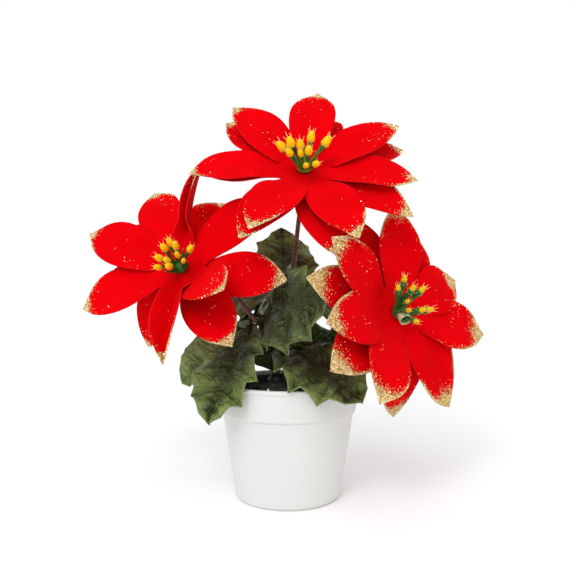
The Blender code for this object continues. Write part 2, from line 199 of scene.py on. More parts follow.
def kept(mesh, name):
    """Mesh data from what was built in bmesh."""
    data = bpy.data.meshes.new(name)
    mesh.to_mesh(data)
    mesh.free()
    return data


def form_to_repeat(mesh, name):
    """An object that a tree repeats, until it is discarded."""
    obj = bpy.data.objects.new(name, kept(mesh, name))
    scene.collection.objects.link(obj)
    return obj


def discard(obj):
    bpy.data.objects.remove(obj, do_unlink=True)


def hand_over(obj, slot, *nodes):
    """The piece rides on the plant's one body and stands for these nodes. The slot is not used."""
    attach(obj, "root")
    if nodes:
        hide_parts(*nodes)
    print(obj.name, "has", len(obj.data.polygons), "faces before its modifiers")


# %% [markdown]
# ## Directions on a sheet
# Every bloom and every collar of leaves is cut from one flat sheet with a hole in its middle, so each has a
# middle point and a way that it faces. A blade, which is a petal or a leaf, is told by where it points in the
# sheet's plane, how much it lifts out of it, how it curls on its way to the tip, how it is creased and how it
# twists. These are the same few values as in the CAD model, which is why the finer pieces fit the solids.

# %% The blade's path
# The last value paints a whole leaf paler or darker, partly for its print and partly as painted light.
Blade = namedtuple("Blade", "turn lift curl fold roll size wide fade",
                   defaults=(-20.0, 8.0, 0.0, 1.0, (1.0, 1.0), 0.0))
Form = namedtuple("Form", "hub length half_width hole whole_radius")
PETAL = Form(0.0075, 0.0640, 0.0150, 0.0020, 0.0150)
LEAF = Form(0.0042, 0.0660, 0.0225, 0.0026, 0.0048)
LIFT_SHARE = 0.15
FOLD_SHARE = 0.30
PATH_STEPS = 400
CREASE_RADIUS = 0.0014


def facing(turned, tipped):
    """Right, up and outward axes of a sheet that faces -Y before it is turned to +X and tipped up."""
    turn = math.radians(turned)
    tip = math.radians(tipped)
    outward = np.array((math.sin(turn) * math.cos(tip), -math.cos(turn) * math.cos(tip), math.sin(tip)))
    right = np.array((math.cos(turn), math.sin(turn), 0.0))
    return right, np.cross(outward, right), outward


def midrib(blade, form, shares):
    """How far from the hub's middle, how high over the sheet and how steep the midrib is at these shares."""
    walked = np.linspace(0.0, 1.0, PATH_STEPS + 1)
    slope = np.radians(blade.lift * np.minimum(1.0, walked / LIFT_SHARE) + blade.curl * walked)
    middle = (slope[1:] + slope[:-1]) / 2
    step = form.length * blade.size / PATH_STEPS
    run = form.hub + np.concatenate([[0.0], np.cumsum(np.cos(middle))]) * step
    rise = np.concatenate([[0.0], np.cumsum(np.sin(middle))]) * step
    return tuple(np.interp(shares, walked, track) for track in (run, rise, slope))


def ribs(blade, form, middle, axes, shares):
    """Points along the midrib with the side and normal directions and the crease there."""
    right, up, outward = axes
    turn = math.radians(blade.turn)
    ray = math.cos(turn) * right + math.sin(turn) * up
    across = math.cos(turn) * up - math.sin(turn) * right
    run, rise, slope = (track[..., None] for track in midrib(blade, form, shares))
    point = middle + run * ray + rise * outward
    normal = np.cos(slope) * outward - np.sin(slope) * ray
    roll = np.radians(blade.roll * shares)[..., None]
    side = np.cos(roll) * across + np.sin(roll) * normal
    crease = np.radians(blade.fold) * np.minimum(1.0, shares / FOLD_SHARE)
    return point, side, np.cos(roll) * normal - np.sin(roll) * across, crease[..., None]


def crest(distance):
    """The distance from the crease, rounded where the crease is soft."""
    return np.sqrt(distance ** 2 + CREASE_RADIUS ** 2) - CREASE_RADIUS


# %% [markdown]
# ## Outlines
# A petal is a pointed oval, so one sine curve gives its half width. A leaf has spined points with shallow
# bays between them, as on holly, so its margin is a short table: where the midrib and the margin are, how
# wide the leaf is and how the margin waves. The bays are hollowed between the rows of the table.

# %% A petal's rows and a leaf's rows
COLUMNS = 21
PETAL_ROWS = 38
ROWS_TO_TIP = 0.85
OVAL_START = 0.16
OVAL = 1.35
FULLNESS = 0.8
TAPER = 0.86
POINT = 0.88
SEAM = 0.0012
WANDER = 0.03
RIPPLE = 0.00045
FLUTTER = 0.0003
BAY_STEPS = 10
BAY_DEPTH = 0.05
LEAF_MARGIN = (
    (0.00, 0.00, 0.12, 0.0),
    (0.12, 0.10, 0.52, 0.06),
    (0.24, 0.30, 0.88, -0.10),
    (0.33, 0.36, 0.78, 0.12),
    (0.46, 0.56, 1.04, -0.12),
    (0.55, 0.61, 0.84, 0.12),
    (0.68, 0.80, 0.80, -0.10),
    (0.77, 0.83, 0.56, 0.08),
    (0.88, 0.93, 0.34, 0.0),
    (1.00, 1.00, 0.00, 0.0),
)
SIDE_RIB = 0.00040
SWELL = 0.0022
FOLD_PACE = 2.6
FOLD_DEPTH = 0.65
RIB_GROOVE = 0.0009
GROOVE_WIDTH = 0.0011
WALKED = np.linspace(0, 1, 101)
acrosses = np.linspace(-1.0, 1.0, COLUMNS)


def petal_grid(blade, middle, axes, chance):
    """Points, flat places, shares and distances from the margin for one petal beyond the whole hub."""
    first = np.interp(PETAL.whole_radius + SEAM, midrib(blade, PETAL, WALKED)[0], WALKED)
    even = np.linspace(0.0, 1.0, PETAL_ROWS)
    shares = first + (1 - first) * np.sin(even * math.pi / 2) ** ROWS_TO_TIP
    oval = OVAL_START + (1 - OVAL_START) * np.minimum(shares, TAPER)
    half = PETAL.half_width * np.sin(math.pi * oval ** OVAL) ** FULLNESS
    half = half * np.clip((1 - shares) / (1 - TAPER), 0, 1) ** POINT
    wander = 1 + WANDER * np.sin(shares * chance.uniform(5, 9) + chance.uniform(0, 6))
    half = (half * wander)[:, None]
    side_by = half * acrosses
    point, side, normal, crease = (a[:, None] for a in ribs(blade, PETAL, middle, axes, shares))
    apart = side_by[..., None]
    shares = np.broadcast_to(shares[:, None], side_by.shape)
    ripple = RIPPLE * np.sin(shares * chance.uniform(9, 14) + chance.uniform(0, 6)) * acrosses ** 2
    flutter = np.sin(shares * 7 + acrosses * chance.uniform(2, 4) + chance.uniform(0, 6))
    raised = crest(apart) * np.sin(crease) + (ripple + FLUTTER * flutter)[..., None]
    points = point + side * apart * np.cos(crease) + normal * raised
    along = PETAL.hub + shares * PETAL.length * blade.size
    return points, along, side_by, shares, half - abs(side_by)


def leaf_grid(blade, middle, axes, chance):
    """The same for one leaf, whose rows lean forward from the midrib to the points of its margin."""
    table = np.array(LEAF_MARGIN)
    rows = np.linspace(0, len(table) - 1, BAY_STEPS * (len(table) - 1) + 1)[1:]
    rib, margin, width, wave = (np.interp(rows, np.arange(len(table)), column) for column in table.T)
    bay = np.sin(math.pi * (rows % 1.0)) * (rows > 1) * (rows < len(table) - 2)
    width = width - BAY_DEPTH * bay * width
    half = (LEAF.half_width * blade.size * width)[:, None] * np.where(acrosses < 0, *blade.wide)
    reach = abs(acrosses)
    spine = ribs(blade, LEAF, middle, axes, rib)[0][:, None]
    edge, side, normal, crease = (a[:, None] for a in ribs(blade, LEAF, middle, axes, margin))
    side_by = half * acrosses
    apart = side_by[..., None]
    ribbed = np.sin(rows * math.pi * 3)[:, None] * np.sin(math.pi * np.minimum(1, reach * 1.1)) * SIDE_RIB
    swell = np.sin(rows * chance.uniform(1.2, 1.9) + chance.uniform(0, 6))[:, None] * np.sin(math.pi * reach)
    folds = rows[:, None] * FOLD_PACE + acrosses * chance.uniform(3.0, 5.0) + chance.uniform(0, 6)
    swell = swell + FOLD_DEPTH * np.sin(folds) * np.sin(math.pi * np.minimum(1, reach * 1.3)) ** 2
    pucker = ribbed + swell * SWELL - RIB_GROOVE * np.exp(-(side_by / GROOVE_WIDTH) ** 2)
    waves = LEAF.half_width * wave[:, None] * reach ** 2 + pucker
    points = spine * (1 - reach[None, :, None]) + edge * reach[None, :, None] + side * apart * np.cos(crease)
    points = points + normal * (abs(apart) * np.sin(crease) + waves[..., None])
    shares = rib[:, None] * (1 - reach) + margin[:, None] * reach
    along = LEAF.hub + shares * LEAF.length * blade.size
    return points, along, side_by, np.broadcast_to(rows[:, None], side_by.shape), half - abs(side_by)


# %% [markdown]
# ## Sheets
# The blades of one sheet hang together round its hole. Near the hole the rows are rings that all blades
# share, and further out each blade goes its own way. The flat place of every corner before it was bent is
# kept in a UV map, because a weave or a print lies on the cloth and bends with it. A second map holds the
# place on the blade, and an attribute holds how far the margin is. Solidify then gives the cloth its
# thickness.

# %% Build a sheet from its blades
HUB_ROWS = 5
CLOTH = 0.0006
MARGIN_IN_HUB = 0.006


def column_turns(blades, i):
    """The directions of a blade's columns where the sheet is whole, in degrees."""
    turn = blades[i].turn
    low = ((turn - blades[i - 1].turn) % 360.0) / 2.0
    high = ((blades[(i + 1) % len(blades)].turn - turn) % 360.0) / 2.0
    return turn + np.where(acrosses < 0, acrosses * low, acrosses * high)


def hub_grid(blades, i, form, middle, axes, radii):
    """Rings of one blade's sector of the whole hub, with neighbours meeting half way."""
    right, up, outward = axes
    rises = []
    for blade in (blades[i - 1], blades[i], blades[(i + 1) % len(blades)]):
        run, rise, _ = midrib(blade, form, WALKED)
        rises.append(np.interp(radii, run, rise)[:, None] * (radii > form.hub)[:, None])
    before, own, after = rises
    share = abs(acrosses) / 2
    rise = own + np.where(acrosses < 0, before - own, after - own) * share
    turns = np.radians(column_turns(blades, i))
    flat = np.stack([radii[:, None] * np.cos(turns), radii[:, None] * np.sin(turns)], axis=-1)
    points = middle + flat[..., :1] * right + flat[..., 1:] * up + rise[..., None] * outward
    return points, flat


def turned_flat(blade, along, side_by):
    """Flat places that are so far along and beside the blade's midrib."""
    turn = math.radians(blade.turn)
    return np.stack([along * math.cos(turn) - side_by * math.sin(turn),
                     along * math.sin(turn) + side_by * math.cos(turn)], axis=-1)


def cloth_sheet(name, middle, axes, blades, form, grid, seed, material, mask, amount_at):
    """One mesh for a die-cut sheet, with its flat map, its blade map, its margin and its own mask."""
    chance = np.random.default_rng(seed)
    blades = sorted((b._replace(turn=b.turn % 360.0) for b in blades), key=lambda blade: blade.turn)
    radii = np.linspace(form.hole, form.whole_radius, HUB_ROWS)
    mesh = bmesh.new()
    cloth_map = mesh.loops.layers.uv.new("cloth")
    blade_map = mesh.loops.layers.uv.new("blade")
    margin_layer = mesh.verts.layers.float.new("margin")
    mask_layer = mesh.verts.layers.float.new(mask)
    for i, blade in enumerate(blades):
        hub_points, hub_flat = hub_grid(blades, i, form, middle, axes, radii)
        points, along, side_by, shares, margin = grid(blade, middle, axes, chance)
        flat = np.concatenate([hub_flat, turned_flat(blade, along, side_by)])
        margin = np.concatenate([np.full(hub_points.shape[:2], MARGIN_IN_HUB), margin])
        amount = amount_at(blade, shares, side_by, margin[HUB_ROWS:], chance)
        amount = np.concatenate([np.zeros(hub_points.shape[:2]), amount])
        shares = np.concatenate([np.zeros(hub_points.shape[:2]), shares])
        points = np.concatenate([hub_points, points])
        corners = []
        for row in range(len(points)):
            corners.append([])
            for column in range(COLUMNS):
                corner = mesh.verts.new(points[row, column])
                corner[margin_layer] = margin[row, column]
                corner[mask_layer] = amount[row, column]
                corners[-1].append(corner)
        for row in range(len(points) - 1):
            for column in range(COLUMNS - 1):
                places = ((row, column), (row + 1, column), (row + 1, column + 1), (row, column + 1))
                face = mesh.faces.new([corners[r][c] for r, c in places])
                face.smooth = True
                for loop, (r, c) in zip(face.loops, places):
                    loop[cloth_map].uv = 1000 * flat[r, c]
                    loop[blade_map].uv = (shares[r, c], 0.5 + acrosses[c] / 2)
    bmesh.ops.remove_doubles(mesh, verts=mesh.verts, dist=0.00002)
    bmesh.ops.dissolve_degenerate(mesh, edges=mesh.edges, dist=0.00001)
    mesh.normal_update()
    return new_piece(name, kept(mesh, name), material)


def thicken(obj, back):
    """Gives the cloth its thickness, and its back a finish of its own."""
    obj.data.materials.append(back)
    solid = obj.modifiers.new("cloth", "SOLIDIFY")
    solid.thickness = CLOTH
    solid.offset = 0.0
    solid.material_offset = 1


# %% [markdown]
# ## The petals' finish
# The petals are cloth with a coat of short red fibres, which looks soft and nearly matt, with a little sheen
# where it is seen from the side. The cut margin shows the lighter cloth. Gold glitter is glued on the tips.
# It is two things at once: a field of grains too fine to model, which the material paints where the gold
# attribute is high, and larger grains that stand out, which come later as a mesh of their own. The painted
# field's grains run from dark brown to near white: painted glints and painted shade on single flakes.

# %% Red flock with gold at the tips
RED = (0.70, 0.0, 0.003, 1.0)
DEEP_RED = (0.59, 0.0, 0.002, 1.0)
BACK_RED = (0.50, 0.0, 0.004, 1.0)
CUT_RED = (0.85, 0.05, 0.045, 1.0)
LINT = (0.95, 0.40, 0.36, 1.0)
PILE_HEIGHT = 0.00012
GRAIN_HEIGHT = 0.0006
CUT_WIDTH = 0.0003
GOLD_EDGE = 14.0


def gold_field(tree, places):
    """A ragged mask for the glitter, its colours with painted glints and painted shade, and its grain."""
    ragged = noise_at(tree, places, 420.0, 3.0)
    fine = noise_at(tree, places, 2600.0, 1.0)
    over = weighted(tree, (painted(tree, "gold"), 1.0), (ragged, 0.88), (fine, 0.56), start=-1.16)
    grain, own = cells_at(tree, places, 1700.0)
    # Each cell is one flake, painted from dark brown to near white: painted shade on flakes turned away from
    # the light and painted glints on flakes turned to it.
    colour = steps(tree, own, (0.0, (0.30, 0.15, 0.03, 1)), (0.3, (0.66, 0.42, 0.11, 1)),
                   (0.65, (0.95, 0.74, 0.30, 1)), (0.85, (1.0, 0.97, 0.80, 1)))
    return maths(tree, "MULTIPLY", over, GOLD_EDGE, clamp=True), colour, grain


def flock(name, bright, deep, glittered):
    """Red fibres on cloth, with gold on the side that was dabbed."""
    material, tree, shader = finish(name, Sheen_Weight=0.12, Sheen_Roughness=0.5, Roughness=0.85,
                                    Sheen_Tint=(1.0, 0.03, 0.03, 1.0), Specular_IOR_Level=0.02)
    places = place_of(tree)
    tone = noise_at(tree, places, 55.0, 4.0)
    pile = noise_at(tree, places, 5200.0)
    shade = steps(tree, weighted(tree, (tone, 0.8), (pile, 0.35)), (0.40, grey(0)), (0.72, grey(1)))
    red = blend_colours(tree, shade, deep, bright)
    cut = fading(tree, painted(tree, "margin"), CUT_WIDTH)
    red = blend_colours(tree, times(tree, cut, 0.18), red, CUT_RED)
    away, own = cells_at(tree, places, 230.0)
    lint = times(tree, maths(tree, "LESS_THAN", away, 0.07), maths(tree, "GREATER_THAN", own, 0.86))
    red = blend_colours(tree, times(tree, lint, 0.6), red, LINT)
    first = bump(tree, shader, pile, PILE_HEIGHT, 0.5)
    if glittered:
        mask, colour, grain = gold_field(tree, places)
        red = blend_colours(tree, mask, red, colour)
        drive(tree, shader, Metallic=times(tree, mask, 0.6),
              Roughness=weighted(tree, (mask, -0.58), start=0.92))
        bump(tree, shader, times(tree, grain, mask), GRAIN_HEIGHT, before=first)
    drive(tree, shader, Base_Color=red)
    return material


petal_front = flock("petal_flock", RED, DEEP_RED, glittered=True)
petal_back = flock("petal_backing", DEEP_RED, BACK_RED, glittered=False)
print("petal finish has", len(petal_front.node_tree.nodes), "nodes")

# %% [markdown]
# ## Where the gold is
# Someone dabbed each tip in glue and glitter, so no two tips are alike: the gold fills the last few
# millimetres, runs back along one margin further than along the other, and leaves a few loose flecks. The
# right bloom took the most of it.

# %% The share of gold at a place on a petal
HEM_GOLD = 0.0026
HEM_REACH = 2.6
FULL_AT_TIP = 1.15
LEANING = 1.4
LOOSE_SPOTS = 2


def gold_at(_blade, shares, side_by, margin, chance, reaches, flecks):
    """How much glitter each place on a petal took, where the gold reaches so far and is so loose."""
    reach = chance.uniform(*reaches)
    lean = chance.uniform(-1.0, 1.0)
    from_tip = 1.0 - shares
    tip = FULL_AT_TIP - from_tip / reach
    toward = np.clip(1 + lean * side_by / PETAL.half_width * LEANING, 0, 2)
    hem = np.clip(1.0 - margin / HEM_GOLD, 0, 1) * np.clip(1.0 - from_tip / (reach * HEM_REACH), 0, 1)
    loose = 0
    for _ in range(LOOSE_SPOTS):
        apart = ((shares - chance.uniform(0.4, 0.9)) * PETAL.length) ** 2
        apart = apart + (side_by - chance.uniform(-0.8, 0.8) * PETAL.half_width) ** 2
        loose = loose + flecks * np.exp(-apart / chance.uniform(0.002, 0.006) ** 2)
    return np.clip(np.maximum(tip * (0.6 + 0.4 * toward), hem * toward) + loose, 0, 1)


# %% [markdown]
# ## The blooms
# Each bloom is two sheets of seven petals, one over the other, and turned so that the petals of one show
# between those of the other. The wires in the petals let them be bent one by one, so each has its own lift.

# %% The blooms' places and petals
Bloom = namedtuple("Bloom", "middle turned tipped lower upper")
SHEET_STEP = 0.0011
BLOOMS = {
    "top": Bloom(
        np.array((0.0101, -0.0120, 0.1993)), -2, 44,
        lower=(
            Blade(26, 8, -25), Blade(76, 14, -35), Blade(137, 14, -17), Blade(174, 10, -32, size=0.85),
            Blade(241, 15, -25), Blade(285, 7, -25), Blade(333, 5, -25),
        ),
        upper=(
            Blade(32, 21, -25), Blade(83, 38, -45), Blade(132, 27, -25), Blade(180, 19, -38),
            Blade(246, 22, -25), Blade(294, 16, -25), Blade(353, 13, -28, size=0.95),
        ),
    ),
    "left": Bloom(
        np.array((-0.0640, -0.0150, 0.1401)), -11, 25,
        lower=(
            Blade(80, -22, -10, fold=40), Blade(120, -14), Blade(151, -6), Blade(187, -12),
            Blade(232, -34, size=0.85), Blade(308, 27), Blade(348, 18, -8),
        ),
        upper=(
            Blade(42, 21, -42), Blade(89, 8, -15, fold=80), Blade(118, 14, -45), Blade(159, 10),
            Blade(198, -2), Blade(277, 32, fold=58), Blade(321, 56),
        ),
    ),
    "right": Bloom(
        np.array((0.0634, -0.0250, 0.1133)), 26, 18,
        lower=(
            Blade(22, -9, -10), Blade(61, -2, -18), Blade(108, 3), Blade(167, 30),
            Blade(209, 28), Blade(282, -30), Blade(324, -14),
        ),
        upper=(
            Blade(24, 13, -45, size=0.85), Blade(78, 12), Blade(148, 40), Blade(190, 38), Blade(233, 36),
            Blade(306, -8), Blade(349, 4),
        ),
    ),
}

# %% Make the six petal sheets
PETAL_SEEDS = 10
GOLD = {"top": ((0.08, 0.16), 0.05), "left": ((0.09, 0.19), 0.07), "right": ((0.15, 0.27), 0.06)}
sheets = {}
for seed, (name, bloom) in enumerate(BLOOMS.items()):
    axes = facing(bloom.turned, bloom.tipped)
    reaches, flecks = GOLD[name]
    dabbed = partial(gold_at, reaches=reaches, flecks=flecks)
    for level, blades in enumerate((bloom.lower, bloom.upper)):
        node = f"bloom_{name}_{('lower', 'upper')[level]}"
        middle = bloom.middle + axes[2] * SHEET_STEP * level
        sheet = cloth_sheet(node + "_petals", middle, axes, blades, PETAL, petal_grid,
                            PETAL_SEEDS * seed + level, petal_front, "gold", dabbed)
        sheets[node] = sheet
        thicken(sheet, petal_back)
        hand_over(sheet, "petal_cloth", node)

# %% [markdown]
# ## The leaves' finish
# The leaves are a shiny woven cloth, printed green with a brown flame along the midrib and pressed so that
# the veins stand out and the cloth between them puckers. The weave follows the flat map, since the cloth was
# woven before it was cut, and the print follows the blade map. The backing shows little of the print. Light
# and shade are painted into the colour too: painted shade along the vein grooves and in the puckers' dips,
# painted highlights on their crests and on the thread tops of the weave, and painted shade in its hollows.

# %% Woven green cloth with a brown midrib
GREEN = (0.092, 0.138, 0.028, 1.0)
PALE_GREEN = (0.150, 0.195, 0.065, 1.0)
SATIN_GREEN = (0.050, 0.068, 0.023, 1.0)
OLIVE = (0.026, 0.030, 0.008, 1.0)
# The pale green of the weave's lit thread tops: a painted highlight.
LIT_THREAD_GREEN = (0.22, 0.29, 0.080, 1.0)
CUT_GREEN = (0.22, 0.28, 0.12, 1.0)
BROWN = (0.012, 0.011, 0.002, 1.0)
THREAD = 1.8
VEIN_HEIGHT = 0.0012
PUCKER_HEIGHT = 0.0040
THREAD_HEIGHT = 0.00010


def leaf_cloth(name, printed_on):
    """Woven cloth, with the whole print on one side and little of it on the other."""
    material, tree, shader = finish(name, Specular_IOR_Level=0.5, Specular_Tint=(0.55, 0.75, 0.45, 1.0))
    places = place_of(tree)
    flat, blade = (parts_of(tree, add(tree, "ShaderNodeUVMap", uv_map=plan)) for plan in ("cloth", "blade"))
    pace = 2 * math.pi / THREAD
    weave = times(tree, *(maths(tree, "SINE", times(tree, flat[axis], pace)) for axis in (0, 1)))
    along = blade[0]
    off = maths(tree, "ABSOLUTE", weighted(tree, (blade[1], 2.0), start=-1.0))
    vein_relief_and_shade = maths(tree, "ABSOLUTE", maths(tree, "SINE", times(tree, along, math.pi)))
    cloud = noise_at(tree, places, 75.0, 4.0)
    pucker_relief_and_light = noise_at(tree, places, 170.0, Distortion=1.2)
    # Besides the print, the colour takes each leaf's paleness, which is partly painted light, is darker along
    # the vein grooves as painted shade, and follows the puckers with painted shade in their dips and painted
    # highlights on their crests.
    core = weighted(tree, (off, 0.75), (along, 0.045), (cloud, 0.9), (painted(tree, "fade"), 1.0),
                    (vein_relief_and_shade, 0.22), (pucker_relief_and_light, 0.65), start=-0.96)
    if not printed_on:
        core = weighted(tree, (core, 0.25), start=0.75)
    print_and_light = steps(tree, core, (0.22, BROWN), (0.42, OLIVE), (0.62, SATIN_GREEN), (0.86, GREEN),
                    (1.0, PALE_GREEN))
    open_weave = steps(tree, core, (0.45, grey(0.25)), (0.85, grey(1)))
    # The weave's thread tops are painted paler, a painted highlight, and its hollows browner, a painted
    # shade.
    lit = times(tree, weighted(tree, (weave, 0.5), start=0.5), open_weave)
    print_and_light = blend_colours(tree, times(tree, lit, 0.75), print_and_light, LIT_THREAD_GREEN)
    shaded_hollow = maths(tree, "SUBTRACT", 0.55, lit, clamp=True)
    print_and_light = blend_colours(tree, times(tree, shaded_hollow, 0.5), print_and_light, BROWN)
    cut = fading(tree, painted(tree, "margin"), CUT_WIDTH)
    print_and_light = blend_colours(tree, times(tree, cut, 0.5), print_and_light, CUT_GREEN)
    drive(tree, shader, Base_Color=print_and_light, Roughness=weighted(tree, (cloud, 0.2), start=0.22))
    first = bump(tree, shader, vein_relief_and_shade, VEIN_HEIGHT, 0.6)
    second = bump(tree, shader, pucker_relief_and_light, PUCKER_HEIGHT, 0.9, before=first)
    bump(tree, shader, weave, THREAD_HEIGHT, 0.7, before=second)
    return material


leaf_front = leaf_cloth("leaf_weave", printed_on=True)
leaf_back = leaf_cloth("leaf_backing", printed_on=False)

# %% [markdown]
# ## The leaf collars
# A collar of leaves is threaded on a stem before the bloom is pushed on. Its leaves droop, and it hangs a
# little askew on its stem, so it has its own facing. Some leaves are wider than their neighbours, and some
# are
# painted paler or darker all over: partly their own print, partly painted light for how much light reaches
# them.


# %% Make the three collars
def paleness_and_light_at(blade, shares, *_):
    """How much paler or darker a leaf is painted all over: partly its own print, partly painted light for how
    much light reaches it.
    """
    return np.full(shares.shape, blade.fade)


Collar = namedtuple("Collar", "middle turned tipped leaves")
# The last value of a leaf paints the whole leaf paler or darker: partly its own print, partly painted light.
COLLARS = {
    "left": Collar(np.array((-0.0200, -0.0070, 0.1085)), -45, 35, (
        Blade(7, 35, -37, roll=40, wide=(1.3, 1.05), fade=-0.3), Blade(145, -40, -10, size=0.9),
        Blade(275, 12, -19, roll=-21),
    )),
    "top": Collar(np.array((0.0015, 0.0060, 0.1260)), 0, 70, (
        Blade(28, -40, -12, roll=65, wide=(2.1, 1.2)),
        Blade(96, -12, 75, roll=16, wide=(1.1, 1.1), fade=0.12),
        Blade(155, -18, -8, roll=-60, wide=(1.5, 1.5), fade=0.35),
    )),
    "base": Collar(np.array((-0.0065, -0.0045, 0.0950)), 0, 70, (
        Blade(31, -25, 9, roll=30, size=0.8, wide=(1.2, 1.2)),
        Blade(100, -38, -42, size=0.6, wide=(2.3, 2.3)),
        Blade(183, 5, -61, roll=-41, fade=0.5), Blade(314, -6, -12, roll=12, wide=(1.3, 1.15)),
    )),
}
LEAF_SEED = 100
for seed, (name, collar) in enumerate(COLLARS.items()):
    axes = facing(collar.turned, collar.tipped)
    sheet = cloth_sheet(f"leaves_{name}", collar.middle, axes, collar.leaves, LEAF, leaf_grid,
                        LEAF_SEED + seed, leaf_front, "fade", paleness_and_light_at)
    thicken(sheet, leaf_back)
    hand_over(sheet, "leaf_cloth", f"leaf_collar_{name}")

# %% [markdown]
# ## Geometry Nodes for what repeats or follows a path
# Several pieces follow a rule: the pot is turned, the stems follow paths, the stamens and the glitter repeat
# one small form many times. A Geometry Nodes tree says such a rule once, with named inputs for its sizes.
# The result is then kept as a plain mesh, so nothing in it depends on the tree any more.

# %% Helpers that build a tree and run it
SOCKETS = {int: "NodeSocketInt", float: "NodeSocketFloat", tuple: "NodeSocketVector", str: "NodeSocketObject"}
FULL_TURN = 6.28


def new_tree(name, **inputs):
    """A tree with a named input for each size, and the sockets that its first node gives."""
    tree = bpy.data.node_groups.new(name, "GeometryNodeTree")
    tree.interface.new_socket("Geometry", in_out="INPUT", socket_type="NodeSocketGeometry")
    tree.interface.new_socket("Geometry", in_out="OUTPUT", socket_type="NodeSocketGeometry")
    for size, value in inputs.items():
        socket = tree.interface.new_socket(size, in_out="INPUT", socket_type=SOCKETS[type(value)])
        if not isinstance(value, str):
            socket.default_value = value
    return tree, tree.nodes.new("NodeGroupInput").outputs


def end_tree(tree, geometry, material):
    """Realize Instances and Set Material end every tree."""
    real = add(tree, "GeometryNodeRealizeInstances", {0: geometry})
    done = add(tree, "GeometryNodeSetMaterial", {0: real, "Material": material})
    new_node(tree, "NodeGroupOutput", {0: done})
    return tree


def grown(obj, tree, **values):
    """Runs the tree on the object with these inputs and keeps the result as the object's own mesh."""
    sockets = {item.name: item.identifier for item in tree.interface.items_tree if item.in_out == "INPUT"}
    modifier = obj.modifiers.new(tree.name, "NODES")
    modifier.node_group = tree
    for name, value in values.items():
        modifier[sockets[name]] = value
    graph = bpy.context.evaluated_depsgraph_get()
    obj.data = bpy.data.meshes.new_from_object(obj.evaluated_get(graph), preserve_all_data_layers=True,
                                               depsgraph=graph)
    obj.modifiers.clear()
    print(tree.name, "made", len(obj.data.polygons), "faces for", obj.name)
    return obj


def outwards(obj):
    """Turns the faces of closed shells outwards."""
    mesh = bmesh.new()
    mesh.from_mesh(obj.data)
    bmesh.ops.recalc_face_normals(mesh, faces=mesh.faces)
    mesh.to_mesh(obj.data)
    mesh.free()
    return obj


def attribute(tree, name, kind="FLOAT"):
    return add(tree, "GeometryNodeInputNamedAttribute", {"Name": name}, data_type=kind)


def form_of(tree, obj):
    """The mesh of an object that a tree repeats."""
    return new_node(tree, "GeometryNodeObjectInfo", {"Object": obj}).outputs["Geometry"]


def seeded(tree, low, high, seed):
    """A random number for each element."""
    return new_node(tree, "FunctionNodeRandomValue", {2: low, 3: high, 8: seed}, data_type="FLOAT").outputs[1]


# %% [markdown]
# ## The pot
# The pot is one moulding of white plastic with a band round the top. It is turned, so a tree places the rings
# of a grid at the points of a profile. The profile's corners are rounded and each has a ring close to it on
# either side, which keeps the flat parts flat under smooth shading.

# %% A tree that turns a profile
WELD = 0.000004


def lathe_tree(name, material):
    """Lays the points of a profile on every step of a turn and welds the seam and the axis."""
    tree, size = new_tree(name, Steps=96, Rings=2, Place=(0.0, 0.0, 0.0))
    grid = add(tree, "GeometryNodeMeshGrid", {
        "Vertices X": maths(tree, "ADD", size["Steps"], 1.0), "Vertices Y": size["Rings"]})
    index = add(tree, "GeometryNodeInputIndex")
    step = maths(tree, "FLOOR", maths(tree, "DIVIDE", maths(tree, "ADD", index, 0.5), size["Rings"]))
    ring = maths(tree, "SUBTRACT", index, times(tree, step, size["Rings"]))
    place = add(tree, "GeometryNodeInputPosition")
    corner = add(tree, "GeometryNodeSampleIndex", {
        "Geometry": size["Geometry"], "Value": place, "Index": ring}, data_type="FLOAT_VECTOR")
    at = parts_of(tree, corner)
    angle = times(tree, maths(tree, "DIVIDE", step, size["Steps"]), 2 * math.pi)
    turned = add(tree, "ShaderNodeCombineXYZ", {
        0: times(tree, at[0], maths(tree, "COSINE", angle)),
        1: times(tree, at[0], maths(tree, "SINE", angle)), 2: at[2]})
    moved = add(tree, "ShaderNodeVectorMath", {0: turned, 1: size["Place"]}, operation="ADD")
    bent = add(tree, "GeometryNodeSetPosition", {"Geometry": grid, "Position": moved})
    welded = add(tree, "GeometryNodeMergeByDistance", {"Geometry": bent, "Distance": WELD})
    smooth = add(tree, "GeometryNodeSetShadeSmooth", {"Geometry": welded})
    return end_tree(tree, smooth, material)


def rounded(points, radius, parts=4):
    """The profile with an arc in place of each inner corner, and a close point on either side of it."""
    path = [np.array(points[0])]
    for before, corner, after in zip(points, points[1:], points[2:]):
        before, corner, after = np.array(before), np.array(corner), np.array(after)
        back, ahead = before - corner, after - corner
        reach = min(radius, 0.45 * np.linalg.norm(back), 0.45 * np.linalg.norm(ahead))
        back, ahead = back / np.linalg.norm(back), ahead / np.linalg.norm(ahead)
        first, last = corner + back * reach, corner + ahead * reach
        path.append(first + back * reach * 0.1)
        for i in range(parts + 1):
            t = i / parts
            path.append(first * (1 - t) ** 2 + 2 * corner * t * (1 - t) + last * t ** 2)
        path.append(last + ahead * reach * 0.1)
    return [*path, np.array(points[-1])]


def turned_piece(name, profile, tree, material, steps, place=(0.0, 0.0, 0.0)):
    data = bpy.data.meshes.new(name)
    data.from_pydata([(radius, 0.0, height) for radius, height in profile], [], [])
    obj = new_piece(name, data, material)
    grown(obj, tree, Steps=steps, Rings=len(profile), Place=place)
    return outwards(obj)


# %% White plastic for the pot
WHITE = (0.69, 0.70, 0.685, 1.0)
CLOUDED_WHITE = (0.635, 0.65, 0.635, 1.0)
# The grey that the pot is painted towards at its foot: painted shade where it stands on the floor.
FOOT_SHADE_GREY = (0.62, 0.62, 0.60, 1.0)
FOOT_SHADE_HEIGHT = 0.00455

